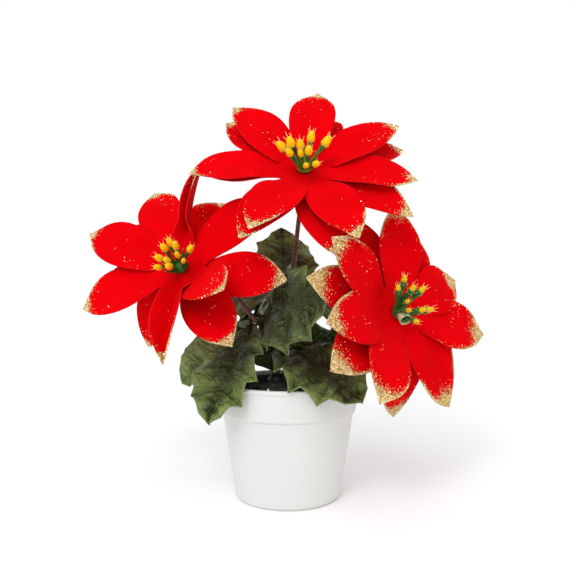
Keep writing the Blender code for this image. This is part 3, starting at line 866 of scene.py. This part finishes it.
white, tree, shader = finish("white_plastic", Specular_IOR_Level=0.4, Coat_Weight=0.08, Coat_Roughness=0.25)
places = place_of(tree)
cloud = noise_at(tree, places, 24.0, 5.0)
# The lowest few millimetres of the pot are painted greyer: painted shade where it meets the floor.
foot_shade = times(tree, fading(tree, parts_of(tree, places)[2], FOOT_SHADE_HEIGHT), 0.35)
scuff = noise_at(tree, places, 160.0, 6.0)
drive(tree, shader, Roughness=weighted(tree, (scuff, 0.22), start=0.30),
      Base_Color=blend_colours(tree, foot_shade, blend_colours(tree, cloud, CLOUDED_WHITE, WHITE), FOOT_SHADE_GREY))
first = bump(tree, shader, cloud, 0.0010, 0.25)
bump(tree, shader, noise_at(tree, places, 420.0), 0.00006, 0.5, before=first)

# %% Turn the pot and add the nub on its rim
POT_HEIGHT = 0.0711
RIM_RADIUS = 0.0450
BAND_BOTTOM = 0.0526
BAND_RADIUS = 0.0422
WALL_RADIUS = 0.0409
FOOT_RADIUS = 0.0328
WALL = 0.0016
FLOOR = 0.0022
LIP = 0.0010
POT_STEPS = 192
POT_ROUNDING = 0.0006


def inner_radius(height):
    return FOOT_RADIUS + (WALL_RADIUS - FOOT_RADIUS) * height / BAND_BOTTOM - WALL


pot_profile = rounded((
    (0.0, FLOOR), (inner_radius(FLOOR), FLOOR), (inner_radius(BAND_BOTTOM), BAND_BOTTOM),
    (BAND_RADIUS - WALL, BAND_BOTTOM + 0.0012), (RIM_RADIUS - LIP - WALL, POT_HEIGHT),
    (RIM_RADIUS, POT_HEIGHT), (RIM_RADIUS, POT_HEIGHT - 0.0020), (RIM_RADIUS - LIP, POT_HEIGHT - 0.0030),
    (BAND_RADIUS, BAND_BOTTOM), (WALL_RADIUS, BAND_BOTTOM - 0.0005),
    (FOOT_RADIUS + 0.0001, 0.0012), (FOOT_RADIUS - 0.0012, 0.0), (FOOT_RADIUS - 0.0030, 0.0),
    (FOOT_RADIUS - 0.0042, 0.0009), (0.0, 0.0009),
), POT_ROUNDING)
pot_lathe = lathe_tree("pot_lathe", white)
pot = turned_piece("flower_pot", pot_profile, pot_lathe, white, POT_STEPS)
hand_over(pot, "pot_plastic", "pot")

NUB_RADIUS = 0.0006
NUB_STEPS = 20
NUB_PLACE = (-0.0110, -0.0416, POT_HEIGHT - 0.0003)
nub_profile = [(NUB_RADIUS * share, height) for share, height in (
    (0.0, 0.0), (1.3, 0.0), (1.0, 0.0004), (0.9, 0.0010), (0.5, 0.0013), (0.0, 0.0014))]
nub = turned_piece("moulding_nub", nub_profile, pot_lathe, white, NUB_STEPS, NUB_PLACE)
hand_over(nub, "pot_plastic")

# %% [markdown]
# ## Foam instead of soil
# The pot is filled with a block of dark foam that was crumbled on top. Its upper side is one mesh of rings
# that grow from the round socket of the stems to the pot's wall. One tree roughens it and another strews
# crumbs over it, which are one small lump used again and again at other sizes.

# %% Dark crumbling foam
slate, tree, shader = finish("slate_foam", Roughness=0.95, Specular_IOR_Level=0.2)
places = place_of(tree)
cloud = noise_at(tree, places, 260.0, 6.0)
pits_and_their_shade, _ = cells_at(tree, places, 900.0)
# The pits of the cells are painted darker than the foam round them: painted shade in the pits.
drive(tree, shader, Base_Color=steps(
    tree, weighted(tree, (cloud, 0.8), (pits_and_their_shade, 0.35)),
    (0.35, (0.010, 0.011, 0.007, 1)), (0.6, (0.045, 0.052, 0.045, 1)), (0.85, (0.125, 0.145, 0.135, 1))))
first = bump(tree, shader, cloud, 0.0012, 0.8)
bump(tree, shader, pits_and_their_shade, 0.0005, 0.7, before=first)


# %% Trees that crumble a surface and strew grains over it
def roughen_tree(material):
    tree, size = new_tree("crumbled_top", Roughness=0.001, Coarseness=300.0)
    noise = add(tree, "ShaderNodeTexNoise", {"Scale": size["Coarseness"], "Detail": 3.0})
    high = times(tree, maths(tree, "SUBTRACT", noise, 0.5), size["Roughness"])
    lift = add(tree, "ShaderNodeCombineXYZ", {2: times(tree, high, attribute(tree, "open"))})
    moved = add(tree, "GeometryNodeSetPosition", {"Geometry": size["Geometry"], "Offset": lift})
    return end_tree(tree, moved, material)


def scatter_tree(name, mask, material):
    """Strews one small form over the faces, as densely as the attribute says."""
    tree, size = new_tree(name, Grain="grain", Density=1000.0, Smallest=0.5, Largest=1.5, Lift=0.0, Seed=1)
    thick = times(tree, attribute(tree, mask), size["Density"])
    strewn = new_node(tree, "GeometryNodeDistributePointsOnFaces", {
        "Mesh": size["Geometry"], "Density": thick, "Seed": size["Seed"]}, distribute_method="RANDOM")
    raised = add(tree, "ShaderNodeVectorMath", {0: strewn.outputs["Normal"], 3: size["Lift"]},
                 operation="SCALE")
    placed = add(tree, "GeometryNodeSetPosition", {
        "Geometry": strewn.outputs[0], "Offset": raised})
    turn = add(tree, "FunctionNodeRandomValue", {0: (0.0,) * 3, 1: (FULL_TURN,) * 3, 8: size["Seed"]},
               data_type="FLOAT_VECTOR")
    turn = add(tree, "FunctionNodeEulerToRotation", {0: turn})
    grains = add(tree, "GeometryNodeInstanceOnPoints", {
        "Points": placed, "Instance": form_of(tree, size["Grain"]), "Rotation": turn,
        "Scale": seeded(tree, size["Smallest"], size["Largest"], size["Seed"])})
    return end_tree(tree, grains, material)


# %% Make the foam with its socket
GAP = 0.0003
FOAM_EDGE = 0.0680
FOAM_CROWN = 0.0715
FOAM_STEPS = 144
FOAM_RINGS = 40
STEM_FOOT = np.array((-0.0065, -0.0045, 0.0))
STAKE_BOTTOM = 0.0250
STAKE_RADIUS = 0.0026
BOSS_RADIUS = 0.0062
BOSS_TOP = 0.0752
BOSS_BOTTOM = 0.0640


def foam_rings():
    """How far out, radius and height of each ring, up the socket, out over the top and down the side."""
    rim = BAND_RADIUS - WALL - GAP
    low = FLOOR + GAP
    socket, hole = BOSS_RADIUS + GAP, STAKE_RADIUS + GAP
    rings = [(0.0, hole, STAKE_BOTTOM - GAP, 0), (0.0, hole, BOSS_BOTTOM - GAP, 0),
             (0.0, socket, BOSS_BOTTOM - GAP, 0)]
    for share in np.linspace(0.0, 1.0, FOAM_RINGS + 1):
        radius = socket * (1 - share) + (rim - 0.0004) * share
        rings.append((share, radius, FOAM_CROWN - (FOAM_CROWN - FOAM_EDGE) * share ** 2, 1))
    rings += [(1.0, rim, FOAM_EDGE - 0.0006, 0), (1.0, rim, BAND_BOTTOM + 0.001 + GAP, 0)]
    return rings + [(1.0, inner_radius(height) - GAP, height, 0) for height in (BAND_BOTTOM, low)]


def foam_mesh():
    mesh = bmesh.new()
    open_layer = mesh.verts.layers.float.new("open")
    angles = np.linspace(0, 2 * math.pi, FOAM_STEPS, endpoint=False)
    circle = np.stack([np.cos(angles), np.sin(angles)], axis=-1)
    corners = []
    for share, radius, height, is_open in foam_rings():
        flat = STEM_FOOT[:2] * (1 - share) + circle * radius
        ring = [mesh.verts.new((x, y, height)) for x, y in flat]
        for corner in ring:
            corner[open_layer] = float(is_open)
        corners.append(ring)
    for ring, following in zip(corners, corners[1:]):
        for i in range(FOAM_STEPS):
            j = (i + 1) % FOAM_STEPS
            mesh.faces.new((ring[i], ring[j], following[j], following[i])).smooth = True
    mesh.faces.new(corners[0])
    mesh.faces.new(list(reversed(corners[-1])))
    return kept(mesh, "foam")


foam = outwards(grown(new_piece("crumbly_foam", foam_mesh(), slate), roughen_tree(slate),
                      Roughness=0.0030, Coarseness=420.0))
hand_over(foam, "filling_foam", "soil_foam")

# %% Strew the crumbs
CRUMB_RADIUS = 0.0006
CRUMB_SEED = 5


def strewn(name, source, grain, tree, material, **sizes):
    """A piece of its own for what the tree strews over the source's mesh."""
    return grown(new_piece(name, source.data.copy(), material), tree, Grain=grain, **sizes)


chance = np.random.default_rng(CRUMB_SEED)
crumb_mesh = bmesh.new()
bmesh.ops.create_icosphere(crumb_mesh, subdivisions=1, radius=CRUMB_RADIUS)
for corner in crumb_mesh.verts:
    corner.co *= chance.uniform(0.7, 1.3)
crumb = form_to_repeat(crumb_mesh, "crumb")
crumbs = strewn("foam_crumbs", foam, crumb, scatter_tree("strewn_crumbs", "open", slate), slate,
                Density=260000.0, Smallest=0.35, Largest=1.3, Seed=3)
hand_over(crumbs, "filling_foam")
discard(crumb)

# %% [markdown]
# ## Stems
# The stems are one moulded bush: a stake, a short trunk and three branches, with a small flange under each
# bloom. Each is a path with a radius at every point, and a tree sweeps a circle along all the paths at once.

# %% A tree that sweeps wires along paths
WIRE_WELD = 0.000001


def wire_tree(name, material):
    tree, size = new_tree(name, Sides=16)
    paths = add(tree, "GeometryNodeMeshToCurve", {"Mesh": size["Geometry"]})
    circle = add(tree, "GeometryNodeCurvePrimitiveCircle", {
        "Resolution": size["Sides"], "Radius": 1.0})
    swept = add(tree, "GeometryNodeCurveToMesh", {
        "Curve": paths, "Profile Curve": circle, "Scale": attribute(tree, "thickness"), "Fill Caps": True})
    welded = add(tree, "GeometryNodeMergeByDistance", {"Geometry": swept, "Distance": WIRE_WELD})
    smooth = add(tree, "GeometryNodeSetShadeSmooth", {"Geometry": welded})
    return end_tree(tree, smooth, material)


def wires(name, paths, material):
    """One piece of round bars from (points, radii) pairs."""
    mesh = bmesh.new()
    layer = mesh.verts.layers.float.new("thickness")
    for points, radii in paths:
        corners = [mesh.verts.new(point) for point in points]
        for corner, radius in zip(corners, radii):
            corner[layer] = radius
        for pair in zip(corners, corners[1:]):
            mesh.edges.new(pair)
    return outwards(grown(new_piece(name, kept(mesh, name), material), wire_tree(name + "_sweep", material)))


# %% Brown plastic over wire
brown, tree, shader = finish("brown_stem", Specular_IOR_Level=0.5)
places = place_of(tree)
cloud = noise_at(tree, places, 120.0, 5.0)
drive(tree, shader, Roughness=weighted(tree, (cloud, 0.3), start=0.35), Base_Color=steps(
    tree, cloud, (0.3, (0.060, 0.022, 0.010, 1)), (0.55, (0.135, 0.048, 0.026, 1)),
    (0.8, (0.24, 0.125, 0.085, 1))))
bump(tree, shader, noise_at(tree, places, 900.0), 0.00025, 0.6)

# %% Lay out the branches and sweep them
TRUNK_TOP = 0.0985
TRUNK_RADIUS = 0.0017
STEM_RADIUS = 0.00145
PIN_RADIUS = 0.0014
FLANGE_RADIUS = 0.0036
FLANGE_THICKNESS = 0.0012
FLANGE_ROWS = ((2.2, 0.45), (1.0, 0.6), (0.8, 1.0), (1 / 6, 1.0), (0.0, 0.93))
STRAIGHT_END = 0.0060
CAD_CLOTH = 0.0007
PATH_PARTS = 10
BRANCHES = {
    "top": ((-0.0030, 0.0020, 0.1120), (0.0015, 0.0060, 0.1260), (0.0035, 0.0065, 0.1420),
            (0.0055, 0.0065, 0.1600), (0.0078, 0.0045, 0.1800)),
    "left": ((-0.0200, -0.0070, 0.1085), (-0.0345, -0.0060, 0.1260), (-0.0500, -0.0010, 0.1350)),
    "right": ((-0.0015, -0.0050, 0.1065), (0.0100, -0.0035, 0.1165), (0.0280, 0.0010, 0.1225),
              (0.0470, -0.0055, 0.1205)),
}


def smooth_path(points):
    """Points along a Catmull-Rom curve through the given points."""
    points = [np.array(point) for point in points]
    ends = [2 * points[0] - points[1], *points, 2 * points[-1] - points[-2]]
    path = []
    for a, b, c, d in zip(ends, ends[1:], ends[2:], ends[3:]):
        for t in np.arange(PATH_PARTS) / PATH_PARTS:
            path.append(0.5 * (2 * b + (c - a) * t + (2 * a - 5 * b + 4 * c - d) * t * t
                               + (3 * b - a - 3 * c + d) * t ** 3))
    return [*path, points[-1]]


levels = (STAKE_BOTTOM, BOSS_BOTTOM, BOSS_TOP - 0.002, BOSS_TOP + 0.001, TRUNK_TOP)
stem_paths = [([STEM_FOOT + (0, 0, level) for level in levels],
               (STAKE_RADIUS, STAKE_RADIUS, TRUNK_RADIUS * 1.1, TRUNK_RADIUS, TRUNK_RADIUS * 0.98))]
for name, bloom in BLOOMS.items():
    outward = facing(bloom.turned, bloom.tipped)[2]
    low = bloom.middle - outward * STRAIGHT_END
    pin = bloom.middle + outward * (SHEET_STEP + CAD_CLOTH / 2)
    path = [*smooth_path([STEM_FOOT + (0, 0, TRUNK_TOP - 0.001), *BRANCHES[name], low]), pin]
    stem_paths.append((path, [STEM_RADIUS] * (len(path) - 1) + [PIN_RADIUS]))
    flange = bloom.middle - outward * (CAD_CLOTH / 2 + GAP)
    stem_paths.append(([flange - outward * FLANGE_THICKNESS * depth for depth, _ in FLANGE_ROWS],
                       [FLANGE_RADIUS * wide for _, wide in FLANGE_ROWS]))
stems = wires("wire_stems", stem_paths, brown)
hand_over(stems, "stem_plastic", "stems")

# %% The black boss that holds the stems
BOSS_STEPS = 64
BOSS_ROUNDING = 0.0005

black, tree, shader = finish("black_plastic", Roughness=0.5)
cloud = noise_at(tree, place_of(tree), 500.0, 4.0)
drive(tree, shader, Base_Color=blend_colours(tree, cloud, (0.004, 0.004, 0.004, 1), (0.03, 0.03, 0.027, 1)))
bump(tree, shader, cloud, 0.0005, 0.5)

bore = STAKE_RADIUS + GAP
boss_profile = rounded((
    (bore, BOSS_BOTTOM), (bore, BOSS_TOP), (BOSS_RADIUS - 0.0022, BOSS_TOP),
    (BOSS_RADIUS - 0.0006, FOAM_CROWN + 0.0018), (BOSS_RADIUS, FOAM_CROWN), (BOSS_RADIUS, BOSS_BOTTOM),
    (bore, BOSS_BOTTOM),
), BOSS_ROUNDING)
boss = turned_piece("boss", boss_profile, lathe_tree("boss_lathe", black), black, BOSS_STEPS,
                    tuple(STEM_FOOT))
hand_over(boss, "boss_plastic", "stem_boss")

# %% [markdown]
# ## Stamens
# At the middle of a bloom sits a moulded bunch: a green cup with a few leaflets and about ten stalks, each
# swelling into a yellow bud with thin curled spikes. One stalk with its bud is modelled from listed rows, and
# a tree sets a copy on each point of the cup, turned to that point's own direction.

# %% Parts that make up a stalk with its bud
STAMEN_LENGTH = 0.0230
BUD_RADIUS = 0.0024
STALK_RADIUS = 0.0007
STALK_BEND = 0.0010
STALK_SHARE = 0.66
BUD_SHARE = 0.33
SEPALS = 5
SPIKES = 5
# Each row is how far along, how thick and which tone.
STALK_ROWS = ((0.0, 1.7, 0.02), (0.2, 1.3, 0.08), (0.45, 1.25, 0.15), (0.7, 1.4, 0.2), (0.88, 1.9, 0.26),
              (0.97, 2.4, 0.3), (1.04, 2.8, 0.34), (1.09, 2.9, 0.38), (1.11, 2.6, 0.40))
BUD_ROWS = ((0.0, 0.55, 0.50), (0.08, 0.80, 0.52), (0.22, 0.97, 0.56), (0.40, 1.0, 0.60), (0.6, 0.93, 0.64),
            (0.78, 0.75, 0.67), (0.90, 0.52, 0.68), (0.97, 0.26, 0.69), (1.0, 0.10, 0.70))
# Length, radius, curl and the tones at the two ends.
SEPAL = (0.0016, 0.0005, 0.4, (0.38, 0.46))
SPIKE = (0.0030, 0.00036, 0.6, (0.72, 1.0))
UP = np.array((0.0, 0.0, 1.0))


def ring_shell(mesh, layer, rings, sides, axis=None):
    """A closed shell through rings of (centre, radius, tone), across the path or across one given axis."""
    centres = [np.array(centre, float) for centre, _, _ in rings]
    ends = [centres[0], *centres, centres[-1]]
    corners = []
    for i, (_, radius, tone) in enumerate(rings):
        along = ends[i + 2] - ends[i] if axis is None else axis
        along = along / np.linalg.norm(along)
        sideways = np.cross(along, (0.31, 0.95, 0.05))
        sideways /= np.linalg.norm(sideways)
        other = np.cross(along, sideways)
        ring = []
        for angle in (2 * math.pi * k / sides for k in range(sides)):
            ray = math.cos(angle) * sideways + math.sin(angle) * other
            corner = mesh.verts.new(centres[i] + radius * ray)
            corner[layer] = tone
            ring.append(corner)
        corners.append(ring)
    for ring, following in zip(corners, corners[1:]):
        for k in range(sides):
            mesh.faces.new((ring[k], ring[k - 1], following[k - 1], following[k])).smooth = True
    mesh.faces.new(corners[0]).smooth = True
    mesh.faces.new(list(reversed(corners[-1]))).smooth = True


def curved_spike(mesh, layer, start, out, up, spike, share=1.0):
    """A thin cone, at a share of its length, that leaves along out and bends towards up."""
    length, radius, curl, (low_tone, high_tone) = spike
    rings = []
    for t in np.linspace(0, 1, 6):
        centre = start + length * share * (out * t * (1 - 0.5 * curl * t) + up * t * t * curl)
        rings.append((centre, radius * (1 - 0.85 * t), low_tone + (high_tone - low_tone) * t))
    ring_shell(mesh, layer, rings, 6)


def bud_mesh(plump, seed):
    """A stalk that swells into a bud, with sepals at its foot and spikes at its top."""
    chance = np.random.default_rng(seed)
    mesh = bmesh.new()
    layer = mesh.verts.layers.float.new("tone")
    stalk, tall = STAMEN_LENGTH * STALK_SHARE, STAMEN_LENGTH * BUD_SHARE
    low = stalk * 1.03
    ring_shell(mesh, layer, [((STALK_BEND * math.sin(math.pi * t), 0, stalk * t), STALK_RADIUS * thick, tone)
                             for t, thick, tone in STALK_ROWS], 12)
    ring_shell(mesh, layer, [((0, 0, low + tall * t), BUD_RADIUS * plump * thick, tone)
                             for t, thick, tone in BUD_ROWS], 16)
    for i in range(SEPALS):
        angle = 2 * math.pi * (i + 0.3) / SEPALS
        out = np.array((math.cos(angle), math.sin(angle), 0.0))
        start = UP * stalk * 1.08 + out * BUD_RADIUS * 0.8
        curved_spike(mesh, layer, start, out * 0.6 + UP, UP, SEPAL)
    for i in range(SPIKES):
        angle = 2 * math.pi * (i + chance.uniform(-0.2, 0.2)) / SPIKES
        out = np.array((math.cos(angle), math.sin(angle), 0.0))
        start = UP * (low + tall * 0.80) + out * BUD_RADIUS * plump * 0.55
        curved_spike(mesh, layer, start, out * chance.uniform(0.3, 0.7) + UP * 0.8, UP, SPIKE,
                     chance.uniform(0.8, 1.15))
    bmesh.ops.recalc_face_normals(mesh, faces=mesh.faces)
    return form_to_repeat(mesh, "bud")


# %% The cup with its leaflets
LEAFLETS = 8
LEAFLET = (0.0064, 0.0016, 0.5, (0.10, 0.22))
LEAFLET_SHARES = (1.0, 1.28125, 1.5625)
CUP_ROWS = ((0.0, 0.0036), (0.0004, 0.0043), (0.0012, 0.0047), (0.0020, 0.0042), (0.0030, 0.0030),
            (0.0038, 0.0016))
SLEEVE_LENGTH = 0.0064
SLEEVE_RADIUS = 0.0030
SLEEVE_ROWS = ((0.0, 1.0), (0.4, 1.15), (1.0, 1.2), (1.05, 1.1), (1.0, 1.0), (0.5, 0.9))


def cup_mesh(foot, axes, sleeve):
    """The cup at the foot of the stalks, with leaflets round it and, on one bunch, its open sleeve."""
    right, up, outward = axes
    mesh = bmesh.new()
    layer = mesh.verts.layers.float.new("tone")
    ring_shell(mesh, layer, [(foot + outward * high, radius, 0.05) for high, radius in CUP_ROWS], 24)
    for i in range(LEAFLETS):
        angle = 2 * math.pi * (i + 0.4 * (i % 2)) / LEAFLETS
        ray = math.cos(angle) * right + math.sin(angle) * up
        start = foot + outward * 0.0016 + ray * 0.0026
        curved_spike(mesh, layer, start, ray * 0.9 + outward * 0.7, outward, LEAFLET, LEAFLET_SHARES[i % 3])
    if sleeve:
        axis = outward * 0.55 - up * 0.82 - right * 0.10
        start = foot + outward * 0.0030 - up * 0.0008
        ring_shell(mesh, layer, [(start + axis * SLEEVE_LENGTH * t, SLEEVE_RADIUS * wide, 0.46)
                                 for t, wide in SLEEVE_ROWS], 20, axis)
    bmesh.ops.recalc_face_normals(mesh, faces=mesh.faces)
    return form_to_repeat(mesh, "cup")


# %% A tree that sets a stalk on each point
def stamen_tree(material):
    tree, size = new_tree("bunch_of_stamens", Bud="bud", Cup="cup", Seed=1)
    bud, cup = (form_of(tree, size[form]) for form in ("Bud", "Cup"))
    aim = add(tree, "FunctionNodeAlignRotationToVector", {"Vector": attribute(tree, "aim", "FLOAT_VECTOR")},
              axis="Z")
    copies = add(tree, "GeometryNodeInstanceOnPoints", {
        "Points": size["Geometry"], "Instance": bud, "Rotation": aim, "Scale": attribute(tree, "size")})
    spin = add(tree, "ShaderNodeCombineXYZ", {2: seeded(tree, 0.0, FULL_TURN, size["Seed"])})
    spun = add(tree, "GeometryNodeRotateInstances", {
        "Instances": copies, "Rotation": spin, "Local Space": True})
    both = new_node(tree, "GeometryNodeJoinGeometry")
    tree.links.new(spun, both.inputs[0])
    tree.links.new(cup, both.inputs[0])
    return end_tree(tree, both.outputs[0], material)


# %% Green and yellow plastic
PALE_NECK = (0.52, 0.56, 0.34, 1.0)


def stamen_finish(name, stalk, calyx, unripe, bud, tip):
    material, tree, shader = finish(name, Roughness=0.34, Specular_IOR_Level=0.3,
                                    Specular_Tint=(0.9, 0.75, 0.2, 1.0))
    noise = noise_at(tree, place_of(tree), 480.0, 3.0)
    tone = weighted(tree, (painted(tree, "tone"), 1.0), (noise, 0.06), start=-0.03)
    drive(tree, shader, Base_Color=steps(
        tree, tone, (0.0, stalk), (0.28, calyx), (0.40, calyx), (0.43, PALE_NECK), (0.48, PALE_NECK),
        (0.50, unripe), (0.60, unripe), (0.65, bud), (0.78, bud), (0.90, tip)))
    bump(tree, shader, noise, 0.0003, 0.4)
    return material


# %% Make the three bunches
# Each stalk is its turn round the bloom, its lean from the bloom's axis and its size.
STAMENS = {
    "top": ((185, 36, 1.0), (190, 18, 1.0), (225, 4, 0.9), (50, 12, 0.95), (15, 36, 1.0), (250, 16, 0.75),
            (290, 18, 0.9), (212, 30, 0.85), (300, 48, 0.8), (275, 46, 0.7)),
    "left": ((105, 21, 1.0), (70, 12, 1.0), (140, 14, 1.0), (5, 4, 0.85), (245, 8, 0.95), (200, 18, 1.0),
             (270, 20, 1.0), (220, 34, 0.9), (340, 22, 0.75), (25, 34, 0.95)),
    "right": ((100, 45, 1.0), (128, 39, 0.9), (96, 22, 0.95), (60, 22, 1.0), (295, 6, 0.95), (330, 16, 1.0),
              (210, 14, 0.8), (262, 26, 0.85), (150, 10, 0.75)),
}
FIRST_SPIN = 4
STALKS_HIGH = 0.0014
STALKS_OUT = 0.0022
PLUMP = {"top": 1.08, "left": 1.0, "right": 0.82}
TALL = {"top": 1.0, "left": 0.86, "right": 0.96}
STALK_GREEN = (0.035, 0.150, 0.024, 1.0)
YELLOW_STALK = (0.17, 0.30, 0.018, 1.0)
CALYX_GREEN = (0.020, 0.170, 0.035, 1.0)
BUD_YELLOW = (0.86, 0.55, 0.003, 1.0)
BUD_AMBER = (0.82, 0.42, 0.002, 1.0)
BUD_LIME = (0.72, 0.52, 0.004, 1.0)
TIP_PALE = (0.95, 0.62, 0.36, 1.0)
TIP_PINK = (0.92, 0.40, 0.26, 1.0)
plastics = {
    "top": stamen_finish("yellow_stamens", YELLOW_STALK, CALYX_GREEN, BUD_YELLOW, BUD_YELLOW, TIP_PALE),
    "left": stamen_finish("amber_stamens", STALK_GREEN, CALYX_GREEN, BUD_AMBER, BUD_YELLOW, TIP_PINK),
    "right": stamen_finish("lime_stamens", STALK_GREEN, CALYX_GREEN, CALYX_GREEN, BUD_LIME, TIP_PINK),
}
for seed, (name, bloom) in enumerate(BLOOMS.items()):
    axes = facing(bloom.turned, bloom.tipped)
    foot = bloom.middle + axes[2] * (SHEET_STEP + CAD_CLOTH / 2 + 2 * GAP)
    mesh = bmesh.new()
    aim_layer = mesh.verts.layers.float_vector.new("aim")
    size_layer = mesh.verts.layers.float.new("size")
    for turn, lean, size in STAMENS[name]:
        turn, lean = math.radians(turn), math.radians(lean)
        ray = math.cos(turn) * axes[0] + math.sin(turn) * axes[1]
        point = mesh.verts.new(foot + axes[2] * STALKS_HIGH + ray * STALKS_OUT)
        point[aim_layer] = Vector(math.cos(lean) * axes[2] + math.sin(lean) * ray)
        point[size_layer] = size * TALL[name]
    bud = bud_mesh(PLUMP[name], seed)
    cup = cup_mesh(foot, axes, name == "right")
    bunch = new_piece(f"stamens_{name}", kept(mesh, "stamen_points"), plastics[name])
    grown(bunch, stamen_tree(plastics[name]), Bud=bud, Cup=cup, Seed=FIRST_SPIN + seed)
    discard(bud)
    discard(cup)
    hand_over(bunch, "stamen_plastic", f"bloom_{name}_stamens")

# %% [markdown]
# ## Glitter that stands out
# The painted gold gives the field, and some grains have to catch the light one by one. They are strewn over
# the front of each petal by the same kind of tree that strewed the crumbs, where the gold attribute is high.
# A grain is the smallest closed form that still glints, a pyramid of four faces.

# %% Gold grains
GRAIN_SIZE = 0.00034
GRAIN_LIFT = CLOTH / 2 + 0.00005

gold, tree, shader = finish("gold_glitter", Metallic=1.0, Roughness=0.22)
drive(tree, shader, Base_Color=steps(
    tree, noise_at(tree, place_of(tree), 1500.0, 0.0), (0.3, (0.50, 0.26, 0.05, 1)),
    (0.5, (0.88, 0.62, 0.22, 1)), (0.68, (1.0, 0.90, 0.60, 1))))

grain_mesh = bmesh.new()
bmesh.ops.create_cone(grain_mesh, cap_ends=True, segments=3, radius1=GRAIN_SIZE, radius2=0.0,
                      depth=GRAIN_SIZE)
grain = form_to_repeat(grain_mesh, "grain")
gold_tree = scatter_tree("strewn_glitter", "gold", gold)
for seed, name in enumerate(BLOOMS):
    for level in ("lower", "upper"):
        grains = strewn(f"glitter_{name}_{level}", sheets[f"bloom_{name}_{level}"], grain, gold_tree, gold,
                        Density=3.2e6, Smallest=0.6, Largest=1.3, Lift=GRAIN_LIFT, Seed=seed)
        hand_over(grains, "petal_cloth")
discard(grain)

# %% [markdown]
# ## Stage and light
# The photograph is a plain product picture: white all round, with soft light from everywhere. A white world,
# a little darker overhead, does most of it. A broad soft sun from the upper left gives the shapes and a faint
# shadow on the pale floor, and a small lamp gives the leaves and buds their gloss.

# %% Floor, world and lamps
HORIZON = 1.0
OVERHEAD = 0.80
FLOOR_SIZE = 12.0
MIDDLE = (0.0, -0.01, 0.13)


def lamp_at(name, kind, place, power, **settings):
    """A lamp aimed at the middle of the plant."""
    lamp = bpy.data.lights.new(name, kind)
    lamp.energy = power
    for setting, value in settings.items():
        setattr(lamp, setting, value)
    obj = bpy.data.objects.new(name, lamp)
    obj.location = place
    obj.rotation_mode = "QUATERNION"
    obj.rotation_quaternion = (Vector(MIDDLE) - Vector(place)).to_track_quat("-Z", "Y")
    scene.collection.objects.link(obj)


world = bpy.data.worlds.new("white_room")
world.use_nodes = True
sky = world.node_tree
height = parts_of(sky, new_node(sky, "ShaderNodeTexCoord").outputs["Generated"])[2]
sky.links.new(steps(sky, height, (0.45, grey(HORIZON)), (0.75, grey(OVERHEAD))),
              sky.nodes["Background"].inputs["Color"])
scene.world = world

pale, _, _ = finish("pale_floor", Base_Color=(0.96, 0.96, 0.96, 1.0), Roughness=0.9)
floor_mesh = bmesh.new()
bmesh.ops.create_grid(floor_mesh, x_segments=1, y_segments=1, size=FLOOR_SIZE / 2)
floor = new_piece("floor", kept(floor_mesh, "floor"), pale)
lamp_at("key", "SUN", (-0.30, -0.70, 0.95), 0.72, angle=math.radians(60))
lamp_at("gloss", "AREA", (-0.28, -0.75, 0.75), 2.4, shape="DISK", size=0.35)
